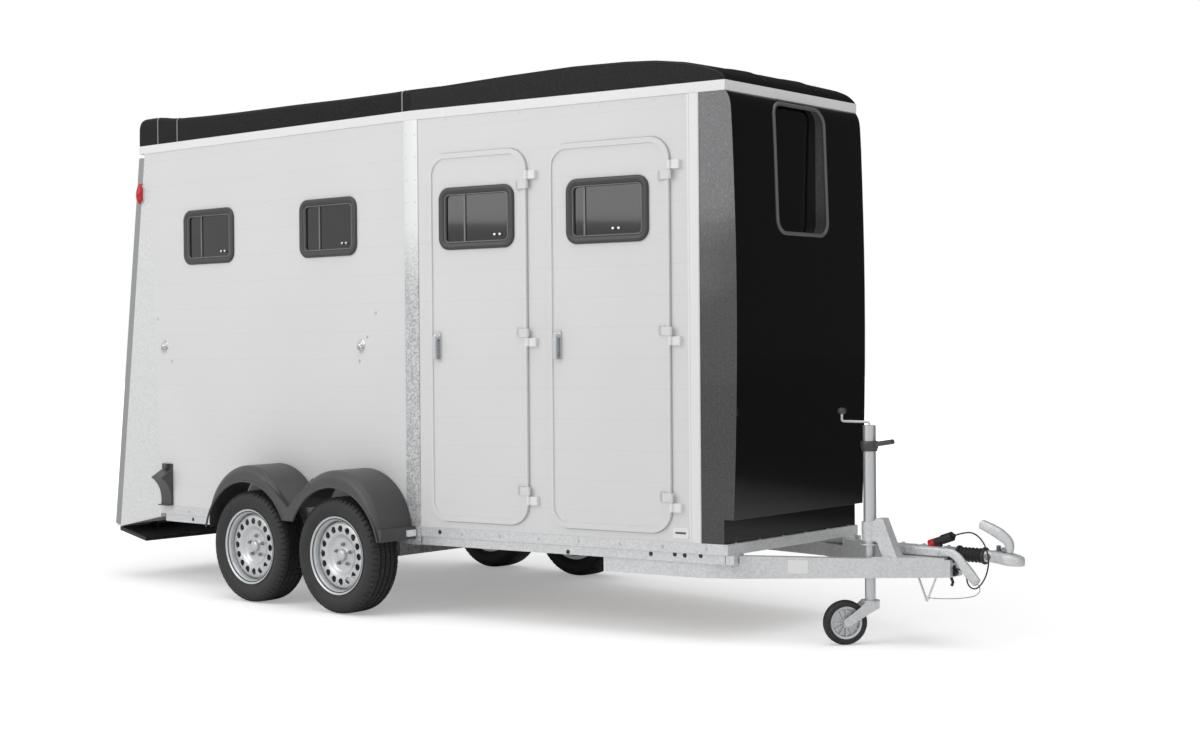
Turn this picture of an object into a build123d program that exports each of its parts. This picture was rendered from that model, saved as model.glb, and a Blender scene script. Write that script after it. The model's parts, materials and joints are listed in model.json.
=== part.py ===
# Horse trailer: tandem-axle aluminium box with a moulded nose and roof, on a galvanised chassis.
# Units are millimetres. +X points to the hitch, +Y to the trailer's left, +Z up.
# The origin is on the ground, in the middle of the trailer's length and width.
import os
from math import atan2, cos, degrees, hypot, pi, radians, sin, tan

from build123d import *

os.makedirs("parts", exist_ok=True)

# Driving dimensions of the whole trailer
HITCH_REACH = 1221.0        # coupling nose, ahead of the body's front
REAR_REACH = 4553.0         # rear bumper, behind the body's front
FRONT_X = (REAR_REACH - HITCH_REACH) / 2
HALF_WIDTH = 820.0          # outer face of the side walls, behind the bend
FRONT_HALF_WIDTH = 578.0    # at the body's front
BEND = 1855.0               # the side walls turn inwards ahead of this place
TAPER = atan2(HALF_WIDTH - FRONT_HALF_WIDTH, BEND)
FRONT_WALL = hypot(BEND, HALF_WIDTH - FRONT_HALF_WIDTH)   # length of a tapered wall
WALL = 25.0                 # aluminium plank walls
SILL_TOP = 470.0            # top of the chassis frame, foot of the walls
SILL_HEIGHT = 52.0
SILL_WIDTH = 60.0
LOWER_RAIL_HEIGHT = 45.0
LOWER_RAIL_INSET = 8.0
RAIL_BOTTOM = 2604.0        # underside of the aluminium cap rail, top of the walls
RAIL_HEIGHT = 50.0
RAIL_TOP = RAIL_BOTTOM + RAIL_HEIGHT
RAIL_WIDTH = 35.0
RAIL_PROUD = 5.0
CHASSIS_LENGTH = 4050.0
RAIL_LENGTH = 4225.0
FLOOR_THICKNESS = 18.0
FLOOR_GAP = 1.0
RUNNING_GAP = 5.0           # between pieces that move past each other
PIN_GAP = 0.05              # radial clearance at hinge pins and spindles
CHASSIS_BOTTOM = SILL_TOP - SILL_HEIGHT - LOWER_RAIL_HEIGHT
CROSS_MEMBERS = (700.0, 1400.0, 1955.0, 3300.0)
CROSS_MEMBER_WIDTH = 60.0


def back(distance):
    """X of a place that lies this far behind the body's front."""
    return FRONT_X - distance


# Wheels, axles and mudguards
TYRE_RADIUS = 310.0
TYRE_WIDTH = 195.0
TREAD_HALF = 80.0
SHOULDER_RADIUS = 285.0
BULGE_RADIUS = 255.0
RIM_SEAT = 191.0            # barrel of a 15 inch rim
RIM_FLANGE = 208.0
RIM_HALF = 84.0
FLANGE_THICKNESS = 6.0
RIM_WALL = 6.0
WHEEL_STANDOFF = 150.0      # wheel centre plane, outside the wall
FRONT_WHEEL = 2206.0        # behind the body's front
AXLE_SPACING = 720.0
DISC_OFFSET = 30.0          # wheel disc, outside the wheel's centre plane
DISC_THICKNESS = 8.0
VENT_COUNT = 16
VENT_CIRCLE = 140.0
VENT_RADIUS = 13.0
DRUM_RADIUS = 118.0
BACKPLATE_THICKNESS = 12.0
BACKPLATE_STANDOFF = 38.0   # outside the wall
SPINDLE_RADIUS = 20.0
SPINDLE_END = 190.0         # outside the wall
CAP_RADIUS = 33.0
CAP_LENGTH = 26.0
AXLE_TUBE = 78.0
AXLE_LEAD = 150.0           # the axle tube runs ahead of its wheels
ARM_RADIUS = 42.0
ARM_END = 34.0
ARM_DROP = 4.0
ARM_INSET = 50.0
GUARD_RADIUS = 345.0
GUARD_TOP = 763.0
GUARD_WIDTH = 257.0
GUARD_ROUND = 44.0          # outer edge
GUARD_SKIN = 6.0
GUARD_FOOT = 400.0
LIP_RADIUS = 350.0          # opening in the outer face, round a lower centre
LIP_HEIGHT = 320.0
VALLEY_HALF = 180.0         # the arches join in a V over this half length
VALLEY_TOP = 712.0
VALLEY_LOW = 575.0
VALLEY_FOOT = 476.0
VALLEY_STEP = 26.0          # the V is this much lower at the outer face
GUARD_BOX = (335.0, 368.0)  # closed front end, ahead of the front wheel
GUARD_BOX_HEIGHTS = (404.0, 470.0)
MARKER_SIZE = (62.0, 34.0, 10.0)

# Doors: distance of the hinge edge and the handle edge behind the front corner, along the wall
DOORS = (("rear_door", 1129.0, 1751.0), ("front_door", 299.0, 999.0))
DOOR_BOTTOM = 508.0
DOOR_TOP = 2412.0
DOOR_CORNER = 110.0
DOOR_PROUD = 8.0
DOOR_INNER = 22.0           # depth of the leaf inside the wall's outer face
BEAD_WIDTH = 26.0
BEAD_PROUD = 8.0
HINGES = ((2249.0, -1), (1455.0, 1), (658.0, 1))   # split height, and whether the leaf's half is above
HINGE_STANDOFF = 22.0       # hinge axis, outside the wall
HINGE_GAP = 9.0             # hinge axis, ahead of the leaf's edge
KNUCKLE_RADIUS = 10.0
KNUCKLE_LENGTH = 42.0
HINGE_PIN = 5.0
STRAP_LENGTH = 50.0
STRAP_THICKNESS = 7.0
HANDLE_HEIGHT = 1417.0
HANDLE_INSET = 56.0
HANDLE_PLATE = (46.0, 146.0, 10.0)
HANDLE_CORNER = 12.0
HANDLE_PIVOT = (11.0, 40.0)      # radius, and rise above the plate's middle
LEVER_SIZE = (20.0, 126.0, 14.0)
LEVER_DROP = 8.0
LEVER_STANDOFF = 26.0

# Windows: height of the middle, and distance of each wall window's middle behind the front
WINDOW_MIDDLE = 2070.0
WINDOW_HEIGHT = 351.0
WALL_WINDOWS = (2507.0, 3555.0)
WALL_WINDOW_WIDTH = 466.0
DOOR_WINDOW_WIDTH = 475.0
WINDOW_CORNER = 62.0
FRAME_BORDER = 34.0
FRAME_PROUD = 12.0
SLEEVE_BORDER = FRAME_BORDER - 6.0
GLASS_THICKNESS = 4.0
GLASS_DEPTH = 6.0

# Posts, nose and roof
POST_REACH = 48.0           # each way along the wall from the bend
POST_PROUD = 5.0
NOSE_LENGTH = 147.0
NOSE_WALL = 26.0
PLINTH_TOP = 586.0
NOSE_FRONT = ((PLINTH_TOP, 33.0), (900.0, 45.0), (1500.0, 56.0), (1960.0, 52.0), (2273.0, 43.0),
              (2507.0, 33.0), (2578.0, 20.0), (RAIL_BOTTOM, 3.0))    # height, ahead of the front
PLINTH_SETBACK = 18.0
RECESS_HALF = 222.0
RECESS_BOTTOM = 1950.0
RECESS_TOP = 2580.0
RECESS_DEPTH = 42.0
RECESS_CORNER = 70.0
NOSE_VOID = PLINTH_SETBACK + RECESS_DEPTH + NOSE_WALL   # inside face of the nose at the floor
ROOF_SKIN = 14.0
ROOF_SHOULDER = 30.0        # the top is drawn in by this much above a step
ROOF_STEP = 22.0
ROOF_SEAM = 2010.0
ROOF_REAR_TOP = ((4215.0, 2820.0), (3890.0, 2811.0), (3600.0, 2792.0), (3320.0, 2782.0),
                 (2790.0, 2777.0), (ROOF_SEAM, 2767.0))      # distance behind the front, height
ROOF_FRONT_TOP = ((ROOF_SEAM, 2767.0), (1650.0, 2770.0), (1270.0, 2785.0), (850.0, 2796.0),
                  (555.0, 2791.0), (385.0, 2781.0), (220.0, 2758.0), (110.0, 2731.0),
                  (50.0, 2702.0), (6.0, RAIL_TOP + 28))
ROOF_FRONT_INSIDE = (ROOF_SEAM, 40.0)

# Rear frame and ramp
WALL_REAR_TOP = 4135.0
WALL_REAR_BOTTOM = CHASSIS_LENGTH
PILLAR_TOP = 4176.0
PILLAR_FOOT = 4465.0
PILLAR_FOOT_HEIGHT = 315.0
PILLAR_THICKNESS = 40.0
PILLAR_FRONT_FOOT = 398.0
HEADER_HEIGHT = 60.0
SILL_DEPTH = 90.0           # sill across the rear, between the pillars' feet
SILL_RISE = 20.0
HANGER_PLACE = 600.0        # plates that hang the bumper from the sill
HANGER_THICKNESS = 12.0
RAMP_THICKNESS = 50.0
RAMP_SIDE_GAP = 12.0
RAMP_TOP_GAP = 14.0
RAMP_AXIS_HEIGHT = 300.0
RAMP_AXIS_OUT = 14.0        # hinge axis, outside the ramp's outer face
RAMP_PIN = 8.0
RAMP_KNUCKLE = 15.0
RAMP_KNUCKLE_LENGTH = 90.0
RAMP_HINGES = (-560.0, 0.0, 560.0)
RAMP_FOOT_GAP = 18.0        # ramp's foot, beyond the hinge axis
RAMP_STRAP = 130.0
RAMP_STRAP_THICKNESS = 7.0
LAMP_PLACE = 4201.0
LAMP_HEIGHT = 2364.0
LAMP_LENGTH = 121.0
LAMP_WIDTH = 38.0
LAMP_BASE = (24.0, 90.0, 8.0)
LAMP_LENS = 18.0
TAIL_LAMP_PLACE = 760.0
TAIL_LAMP_SIZE = (100.0, 18.0, 12.0)
TAIL_LAMP_HEIGHT = 293.0
CHOCK_MIDDLE = 3975.0
CHOCK_WIDTH = 100.0
CHOCK_FOOT = 477.0
CHOCK_HEAD = 690.0          # at the wall
CHOCK_HEAD_DROP = 48.0      # from the wall to the outer edge of its head
CHOCK_DEPTH = 84.0
CHOCK_TOE = 12.0
HOLDER_THICKNESS = 6.0
HOLDER_TOP = 722.0
HOLDER_TRAY = 40.0
CLIP_WIDTH = 42.0
CLIP_DEPTH = 30.0
CLIP_GAP = 4.0
BUMPER_REAR = 4470.0
BUMPER_FRONT = 4205.0
BUMPER_TOP = 312.0          # at its rear edge
BUMPER_DROP = 52.0          # from its rear edge to its front edge
BUMPER_THICKNESS = 22.0
CARRIER_HALF = 700.0        # narrower plate behind the bumper that carries the ramp's hinges
CARRIER_FRONT = 4380.0
CARRIER_TOP = 280.0
CARRIER_THICKNESS = 24.0

# Inside
INNER_FOOT = SILL_TOP + FLOOR_THICKNESS
BULKHEAD_PLACE = 1995.0
BULKHEAD_THICKNESS = 24.0
PARTITION_POSTS = (2355.0, 3805.0)
PARTITION_POST_WIDTH = 50.0
PARTITION_BOTTOM = 540.0
PARTITION_TOP = 1860.0
PARTITION_THICKNESS = 30.0

# Hitch: distances ahead of the body's front
BEAM_TIP = (880.0, 58.0)    # outer corner of a beam's tip: ahead, and out from the middle
BEAM_ANGLE = radians(26.5)
BEAM_WIDTH = 50.0
BEAM_INSET = 20.0           # beside the side rail, behind the turn
BEAM_END = 700.0            # behind the front
BEAM_TOP = 410.0
BEAM_LOW = 302.0
BEAM_TIP_LOW = 330.0
BEAM_STEP = 6.0             # ahead of the front, where the beams step down under the frame
DECK_REAR = 560.0
DECK_FRONT = 856.0
DECK_THICKNESS = 8.0
TIE_PLACE = 615.0
TIE_SIZE = (50.0, 60.0)
OVERRUN_REAR = 526.0 + 36.0
OVERRUN_FRONT = 858.0
OVERRUN_WIDTH = 84.0
OVERRUN_TOP = 464.0
COUPLING_MIDDLE = 436.0
SHAFT_RADIUS = 24.0
BELLOWS = (901.0, 1032.0)
BELLOWS_RADII = (27.0, 35.0)
BELLOWS_RIBS = 7
HEAD_REAR = 1034.0
HEAD_WIDTH = 58.0
HEAD_HALF_HEIGHT = 24.0
BALL_RADIUS = 25.3
BALL_SETBACK = 62.0         # ball's middle, behind the coupling's nose
SOCKET_TOP = 446.0
HEAD_FOOT = 400.0

# Jockey stand
JOCKEY_AHEAD = 508.0
JOCKEY_SIDE = -143.0
JOCKEY_TUBE = 30.0
JOCKEY_TUBE_TOP = 1027.0
JOCKEY_TUBE_BOTTOM = 470.0
JOCKEY_INNER = 25.0
JOCKEY_INNER_TOP = 720.0
JOCKEY_CROWN = 206.0
JOCKEY_CROWN_RADIUS = 44.0
JOCKEY_CROWN_THICKNESS = 8.0
JOCKEY_PIVOT = 10.0
JOCKEY_WHEEL_RADIUS = 105.0
JOCKEY_RIM_RADIUS = 62.0
JOCKEY_WHEEL_WIDTH = 60.0
JOCKEY_TRAIL = 125.0
JOCKEY_SWIVEL = radians(50.0)    # the fork trails this far round from straight back, towards -Y
JOCKEY_AXLE = 8.0
CHEEK_THICKNESS = 6.0
CLAMP_HEIGHTS = (486.0, 575.0)
CLAMP_WALL = 9.0
CLAMP_HALF = 28.0
CLAMP_REACH = 28.0               # its web, ahead of the tube's middle
CRANK_THROW = 150.0
CRANK_BAR = (172.0, 22.0, 12.0)
GRIP_RADIUS = 14.0
GRIP_LENGTH = 66.0
COLLAR_HEIGHTS = (918.0, 950.0)
COLLAR_RADIUS = 38.0

# Hook under the drawbar, plug and cords: places ahead of the front, out to the left, and heights
HOOK_SIDE = 80.0
HOOK_THICKNESS = 8.0
HOOK_LINE = ((722.0, 331.0), (730.0, 331.0), (772.0, 224.0), (817.0, 331.0), (825.0, 331.0),
             (776.0, 214.0), (768.0, 214.0))
CLIP_FRONT = 785.0
CLIP_LEVEL = 232.0
CLIP_SIZE = (24.0, 12.0)
PLUG_TAIL = (776.0, 484.0)
PLUG_LEAN = radians(20.0)
PLUG_STEPS = ((18.0, 36.0), (22.0, 56.0), (10.0, 12.0))     # radius and length of cap, body, gland
PLUG_FOOT = (30.0, 20.0, 16.0)
PLUG_LENGTH = sum(length for radius, length in PLUG_STEPS)
PLUG_END = (PLUG_TAIL[0] + PLUG_LENGTH * cos(PLUG_LEAN), PLUG_TAIL[1] + PLUG_LENGTH * sin(PLUG_LEAN))
POWER_CABLE = 7.0
POWER_LEAD = 45.0           # first run, straight out of the gland
POWER_ROUTE = ((PLUG_END[0], 0.0, PLUG_END[1]),
               (PLUG_END[0] + POWER_LEAD * cos(PLUG_LEAN), 0.0, PLUG_END[1] + POWER_LEAD * sin(PLUG_LEAN)),
               (985.0, -20.0, 542.0), (1052.0, -50.0, 500.0), (1082.0, -62.0, 422.0),
               (1064.0, -66.0, 340.0), (1015.0, -64.0, 283.0), (960.0, -46.0, 300.0),
               (950.0, -34.0, 372.0), (BEAM_TIP[0], -34.0, 372.0))
BREAKAWAY_CABLE = 3.0
BREAKAWAY_ROUTE = ((1015.0, -49.0, 310.0), (1033.6, -49.0, 289.07), (1012.0, -49.0, 258.0),
                   (960.0, -53.0, 244.0), (905.0, -64.0, 236.0), (848.0, -76.0, 232.5),
                   (812.0, -HOOK_SIDE, CLIP_LEVEL), (CLIP_FRONT, -HOOK_SIDE, CLIP_LEVEL))
RUN_SHARE = 0.45            # part of the shorter run that an arc takes up


def save(builder, name):
    """Label a finished piece and write it."""
    builder.part.label = name
    export_step(builder.part, "parts/" + name + ".step")


def side_plane(side, distance):
    """Vertical plane along the trailer, this far out on one side, facing out; its x is +X."""
    if side < 0:
        return Plane(origin=(0, -distance, 0), x_dir=(1, 0, 0), z_dir=(0, -1, 0))
    return Plane(origin=(0, distance, 0), x_dir=(-1, 0, 0), z_dir=(0, 1, 0))


def on_side(side, x, z):
    """Local coordinates on a side plane for a place at x and z."""
    return (x if side < 0 else -x, z)


def side_points(side, points):
    """Local coordinates of a list of places."""
    return [on_side(side, x, z) for x, z in points]


def half_width(distance, inset):
    """Half width of the body at a distance behind its front, drawn in by an inset."""
    if distance >= BEND + inset * tan(TAPER / 2):
        return HALF_WIDTH - inset
    return HALF_WIDTH - (BEND - distance) * tan(TAPER) - inset / cos(TAPER)


def plan_points(inset, rear, front):
    """Corners of the body's plan between two distances, drawn in by an inset."""
    bend = BEND + inset * tan(TAPER / 2)
    stops = [rear, bend, front] if rear > bend > front else [rear, front]
    left = [(back(d), half_width(d, inset)) for d in stops]
    return left + [(x, -y) for x, y in reversed(left)]


def front_plane(side, distance):
    """Vertical plane along a tapered front wall, this far out, facing out."""
    out = (sin(TAPER), side * cos(TAPER))
    along = (cos(TAPER), -side * sin(TAPER))
    origin = (back(BEND) + distance * out[0], side * HALF_WIDTH + distance * out[1], 0)
    return Plane(origin=origin, x_dir=(-side * along[0], -side * along[1], 0),
                 z_dir=(out[0], out[1], 0))


def on_front(side, behind, z):
    """Local coordinates on a front plane for a place behind the front corner, along the wall."""
    return (-side * (FRONT_WALL - behind), z)


def front_section(z):
    """Level plane with x along the right front wall and y towards the inside."""
    return Plane(origin=(back(BEND), -HALF_WIDTH, z), x_dir=(cos(TAPER), sin(TAPER), 0),
                 z_dir=(0, 0, 1))


# Chassis frame: a perimeter frame of folded rails, lower side members and cross members
with BuildPart() as chassis_frame:
    with BuildSketch(Plane.XY.offset(SILL_TOP - SILL_HEIGHT)):
        with BuildLine():
            Polyline(*plan_points(0, CHASSIS_LENGTH, 0), close=True)
        make_face()
        with BuildLine():
            Polyline(*plan_points(SILL_WIDTH, CHASSIS_LENGTH - SILL_WIDTH, SILL_WIDTH), close=True)
        make_face(mode=Mode.SUBTRACT)
    extrude(amount=SILL_HEIGHT)
    with BuildSketch(Plane.XY.offset(CHASSIS_BOTTOM)):
        with BuildLine():
            Polyline(*plan_points(LOWER_RAIL_INSET, CHASSIS_LENGTH - 40, 20), close=True)
        make_face()
        with BuildLine():
            Polyline(*plan_points(LOWER_RAIL_INSET + SILL_WIDTH, CHASSIS_LENGTH, -SILL_WIDTH), close=True)
        make_face(mode=Mode.SUBTRACT)
        for place in CROSS_MEMBERS:
            with Locations((back(place), 0)):
                Rectangle(CROSS_MEMBER_WIDTH, 2 * half_width(place, SILL_WIDTH / 2))
    extrude(amount=LOWER_RAIL_HEIGHT)
save(chassis_frame, "chassis_frame")

# Floor panel between the walls, on the chassis frame
with BuildPart() as floor_panel:
    with BuildSketch(Plane.XY.offset(SILL_TOP)):
        with BuildLine():
            Polyline(*plan_points(WALL + FLOOR_GAP, CHASSIS_LENGTH, NOSE_VOID), close=True)
        make_face()
    extrude(amount=FLOOR_THICKNESS)
save(floor_panel, "floor_panel")


def slanted_wall_edge(z):
    """X of the side wall's sloping rear edge at a height."""
    share = (z - SILL_TOP) / (RAIL_BOTTOM - SILL_TOP)
    return back(WALL_REAR_BOTTOM + share * (WALL_REAR_TOP - WALL_REAR_BOTTOM))


def window_outline(places, width, border, mode=Mode.ADD):
    """Rounded windows at places on a plane, drawn this far inside their frames' outer edge."""
    with Locations(*places):
        RectangleRounded(width - 2 * border, WINDOW_HEIGHT - 2 * border, WINDOW_CORNER - border,
                         mode=mode)


def wall_window_places(side):
    """Middles of one side's wall windows on a side plane."""
    return [on_side(side, back(m), WINDOW_MIDDLE) for m in WALL_WINDOWS]


# Side walls: a straight panel behind the bend and a tapered one ahead of it on each side
for side, side_name in ((-1, "right"), (1, "left")):
    with BuildPart() as rear_wall:
        with BuildSketch(side_plane(side, HALF_WIDTH)):
            with BuildLine():
                Polyline(*side_points(side, [
                    (back(BEND), SILL_TOP), (back(BEND), RAIL_BOTTOM),
                    (slanted_wall_edge(RAIL_BOTTOM), RAIL_BOTTOM),
                    (slanted_wall_edge(SILL_TOP), SILL_TOP)]), close=True)
            make_face()
        extrude(amount=-WALL)
        with BuildSketch(side_plane(side, HALF_WIDTH)):
            window_outline(wall_window_places(side), WALL_WINDOW_WIDTH, SLEEVE_BORDER)
        extrude(amount=-WALL, mode=Mode.SUBTRACT)
    save(rear_wall, "side_wall_" + side_name + "_rear")

    with BuildPart() as front_wall:
        with BuildSketch(Plane.XY.offset(SILL_TOP)):
            with BuildLine():
                Polyline((back(BEND), side * HALF_WIDTH),
                         (back(NOSE_LENGTH), side * half_width(NOSE_LENGTH, 0)),
                         (back(NOSE_LENGTH), side * half_width(NOSE_LENGTH, WALL)),
                         (back(BEND), side * half_width(BEND, WALL)), close=True)
            make_face()
        extrude(amount=RAIL_BOTTOM - SILL_TOP)
        if side < 0:
            with BuildSketch(front_plane(side, 0)):
                for door, near, far in DOORS:
                    with Locations(on_front(side, (near + far) / 2, (DOOR_BOTTOM + DOOR_TOP) / 2)):
                        RectangleRounded(far - near + 2 * RUNNING_GAP,
                                         DOOR_TOP - DOOR_BOTTOM + 2 * RUNNING_GAP,
                                         DOOR_CORNER + RUNNING_GAP)
            extrude(amount=-2 * WALL, mode=Mode.SUBTRACT)
    save(front_wall, "side_wall_" + side_name + "_front")

# Galvanised cover posts, folded round the bend over the joint between the wall panels
with BuildPart() as wall_posts:
    with BuildSketch(Plane.XY.offset(CHASSIS_BOTTOM)):
        with BuildLine():
            Polyline(*plan_points(-POST_PROUD, BEND + POST_REACH, BEND - POST_REACH), close=True)
        make_face()
        with BuildLine():
            Polyline(*plan_points(0, BEND + 2 * POST_REACH, BEND - 2 * POST_REACH), close=True)
        make_face(mode=Mode.SUBTRACT)
    extrude(amount=RAIL_BOTTOM - CHASSIS_BOTTOM)
save(wall_posts, "wall_posts")

# Aluminium cap rail round the top of the walls
with BuildPart() as cap_rail:
    with BuildSketch(Plane.XY.offset(RAIL_BOTTOM)):
        with BuildLine():
            Polyline(*plan_points(-RAIL_PROUD, RAIL_LENGTH, -RAIL_PROUD), close=True)
        make_face()
        with BuildLine():
            Polyline(*plan_points(RAIL_WIDTH - RAIL_PROUD, RAIL_LENGTH - RAIL_WIDTH,
                                  RAIL_WIDTH - RAIL_PROUD), close=True)
        make_face(mode=Mode.SUBTRACT)
    extrude(amount=RAIL_HEIGHT)
save(cap_rail, "cap_rail")


def nose_outline(shift):
    """Side view of the nose, moved back by a distance: plinth, step, bulged front, rail."""
    rear = back(NOSE_LENGTH)
    plinth = FRONT_X - shift - PLINTH_SETBACK
    front = [(FRONT_X - shift + ahead, height) for height, ahead in NOSE_FRONT]
    Polyline(front[-1], (rear, RAIL_BOTTOM), (rear, SILL_TOP), (plinth, SILL_TOP),
             (plinth, PLINTH_TOP), front[0])
    Spline(*front)


# Space inside the nose, behind its recess
with BuildPart() as nose_space:
    with BuildSketch(Plane.XZ):
        with BuildLine():
            nose_outline(RECESS_DEPTH + NOSE_WALL)
        make_face()
    extrude(amount=HALF_WIDTH, both=True)
    with BuildSketch(Plane.XY.offset(SILL_TOP)):
        with BuildLine():
            Polyline(*plan_points(NOSE_WALL, NOSE_LENGTH, -NOSE_LENGTH), close=True)
        make_face()
    extrude(amount=RAIL_BOTTOM - SILL_TOP, mode=Mode.INTERSECT)

# Moulded nose: a hollow front wall with a recess in the middle
with BuildPart() as nose_shell:
    with BuildSketch(Plane.XZ):
        with BuildLine():
            nose_outline(0)
        make_face()
    extrude(amount=HALF_WIDTH, both=True)
    with BuildSketch(Plane.XY.offset(SILL_TOP)):
        with BuildLine():
            Polyline(*plan_points(0, NOSE_LENGTH, -NOSE_LENGTH), close=True)
        make_face()
    extrude(amount=RAIL_BOTTOM - SILL_TOP, mode=Mode.INTERSECT)
    add(nose_space.part, mode=Mode.SUBTRACT)
    with BuildSketch(Plane.YZ.offset(FRONT_X + NOSE_LENGTH)):
        with Locations((0, (RECESS_BOTTOM + RECESS_TOP) / 2)):
            RectangleRounded(2 * RECESS_HALF, RECESS_TOP - RECESS_BOTTOM, RECESS_CORNER)
    extrude(amount=-(NOSE_LENGTH + RECESS_DEPTH - NOSE_WALL), mode=Mode.SUBTRACT)
save(nose_shell, "nose_shell")


def roof_outline(top, drop, ends):
    """Side view of a roof moulding with its top lowered, between two ends on the rail."""
    line = [(back(distance), height - drop) for distance, height in top]
    Spline(*line)
    Polyline(line[-1], (back(ends[1]), RAIL_TOP), (back(ends[0]), RAIL_TOP), line[0])


# Moulded roof: two hollow shells that meet at a seam behind the posts
REAR_INSIDE = ((ROOF_REAR_TOP[0][0] - ROOF_SKIN, ROOF_REAR_TOP[0][1]),) + ROOF_REAR_TOP[1:]
REAR_ENDS = (RAIL_LENGTH, ROOF_SEAM)
FRONT_ENDS = (ROOF_SEAM, 0)
ROOFS = (("roof_rear", ROOF_REAR_TOP, REAR_INSIDE, REAR_ENDS, (RAIL_LENGTH - ROOF_SKIN, ROOF_SEAM)),
         ("roof_front", ROOF_FRONT_TOP, ROOF_FRONT_TOP[:-1], FRONT_ENDS, ROOF_FRONT_INSIDE))
ROOF_DEPTH = 2 * (ROOF_REAR_TOP[0][1] - RAIL_TOP)
for name, top, inside, ends, inside_ends in ROOFS:
    layers = []
    for line, drop, line_ends, inset in ((top, ROOF_STEP, ends, 0), (top, 0, ends, ROOF_SHOULDER),
                                         (inside, ROOF_STEP + ROOF_SKIN, inside_ends, ROOF_SKIN)):
        with BuildPart() as layer:
            with BuildSketch(Plane.XZ):
                with BuildLine():
                    roof_outline(line, drop, line_ends)
                make_face()
            extrude(amount=HALF_WIDTH, both=True)
            with BuildSketch(Plane.XY.offset(RAIL_TOP)):
                with BuildLine():
                    Polyline(*plan_points(inset, *ends), close=True)
                make_face()
            extrude(amount=ROOF_DEPTH, mode=Mode.INTERSECT)
        layers.append(layer.part)
    with BuildPart() as roof_shell:
        add(layers[0])
        add(layers[1])
        add(layers[2], mode=Mode.SUBTRACT)
    save(roof_shell, name)


# Moulded window frames on the walls, each with a sleeve that lines its opening
with BuildPart() as window_frames:
    for side in (-1, 1):
        with BuildSketch(side_plane(side, HALF_WIDTH)):
            window_outline(wall_window_places(side), WALL_WINDOW_WIDTH, 0)
            window_outline(wall_window_places(side), WALL_WINDOW_WIDTH, FRAME_BORDER, Mode.SUBTRACT)
        extrude(amount=FRAME_PROUD)
        with BuildSketch(side_plane(side, HALF_WIDTH)):
            window_outline(wall_window_places(side), WALL_WINDOW_WIDTH, SLEEVE_BORDER)
            window_outline(wall_window_places(side), WALL_WINDOW_WIDTH, FRAME_BORDER, Mode.SUBTRACT)
        extrude(amount=-WALL)
save(window_frames, "window_frames")

with BuildPart() as window_glass:
    for side in (-1, 1):
        with BuildSketch(side_plane(side, HALF_WIDTH - GLASS_DEPTH)):
            window_outline(wall_window_places(side), WALL_WINDOW_WIDTH, FRAME_BORDER)
        extrude(amount=-GLASS_THICKNESS)
save(window_glass, "window_glass")

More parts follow.
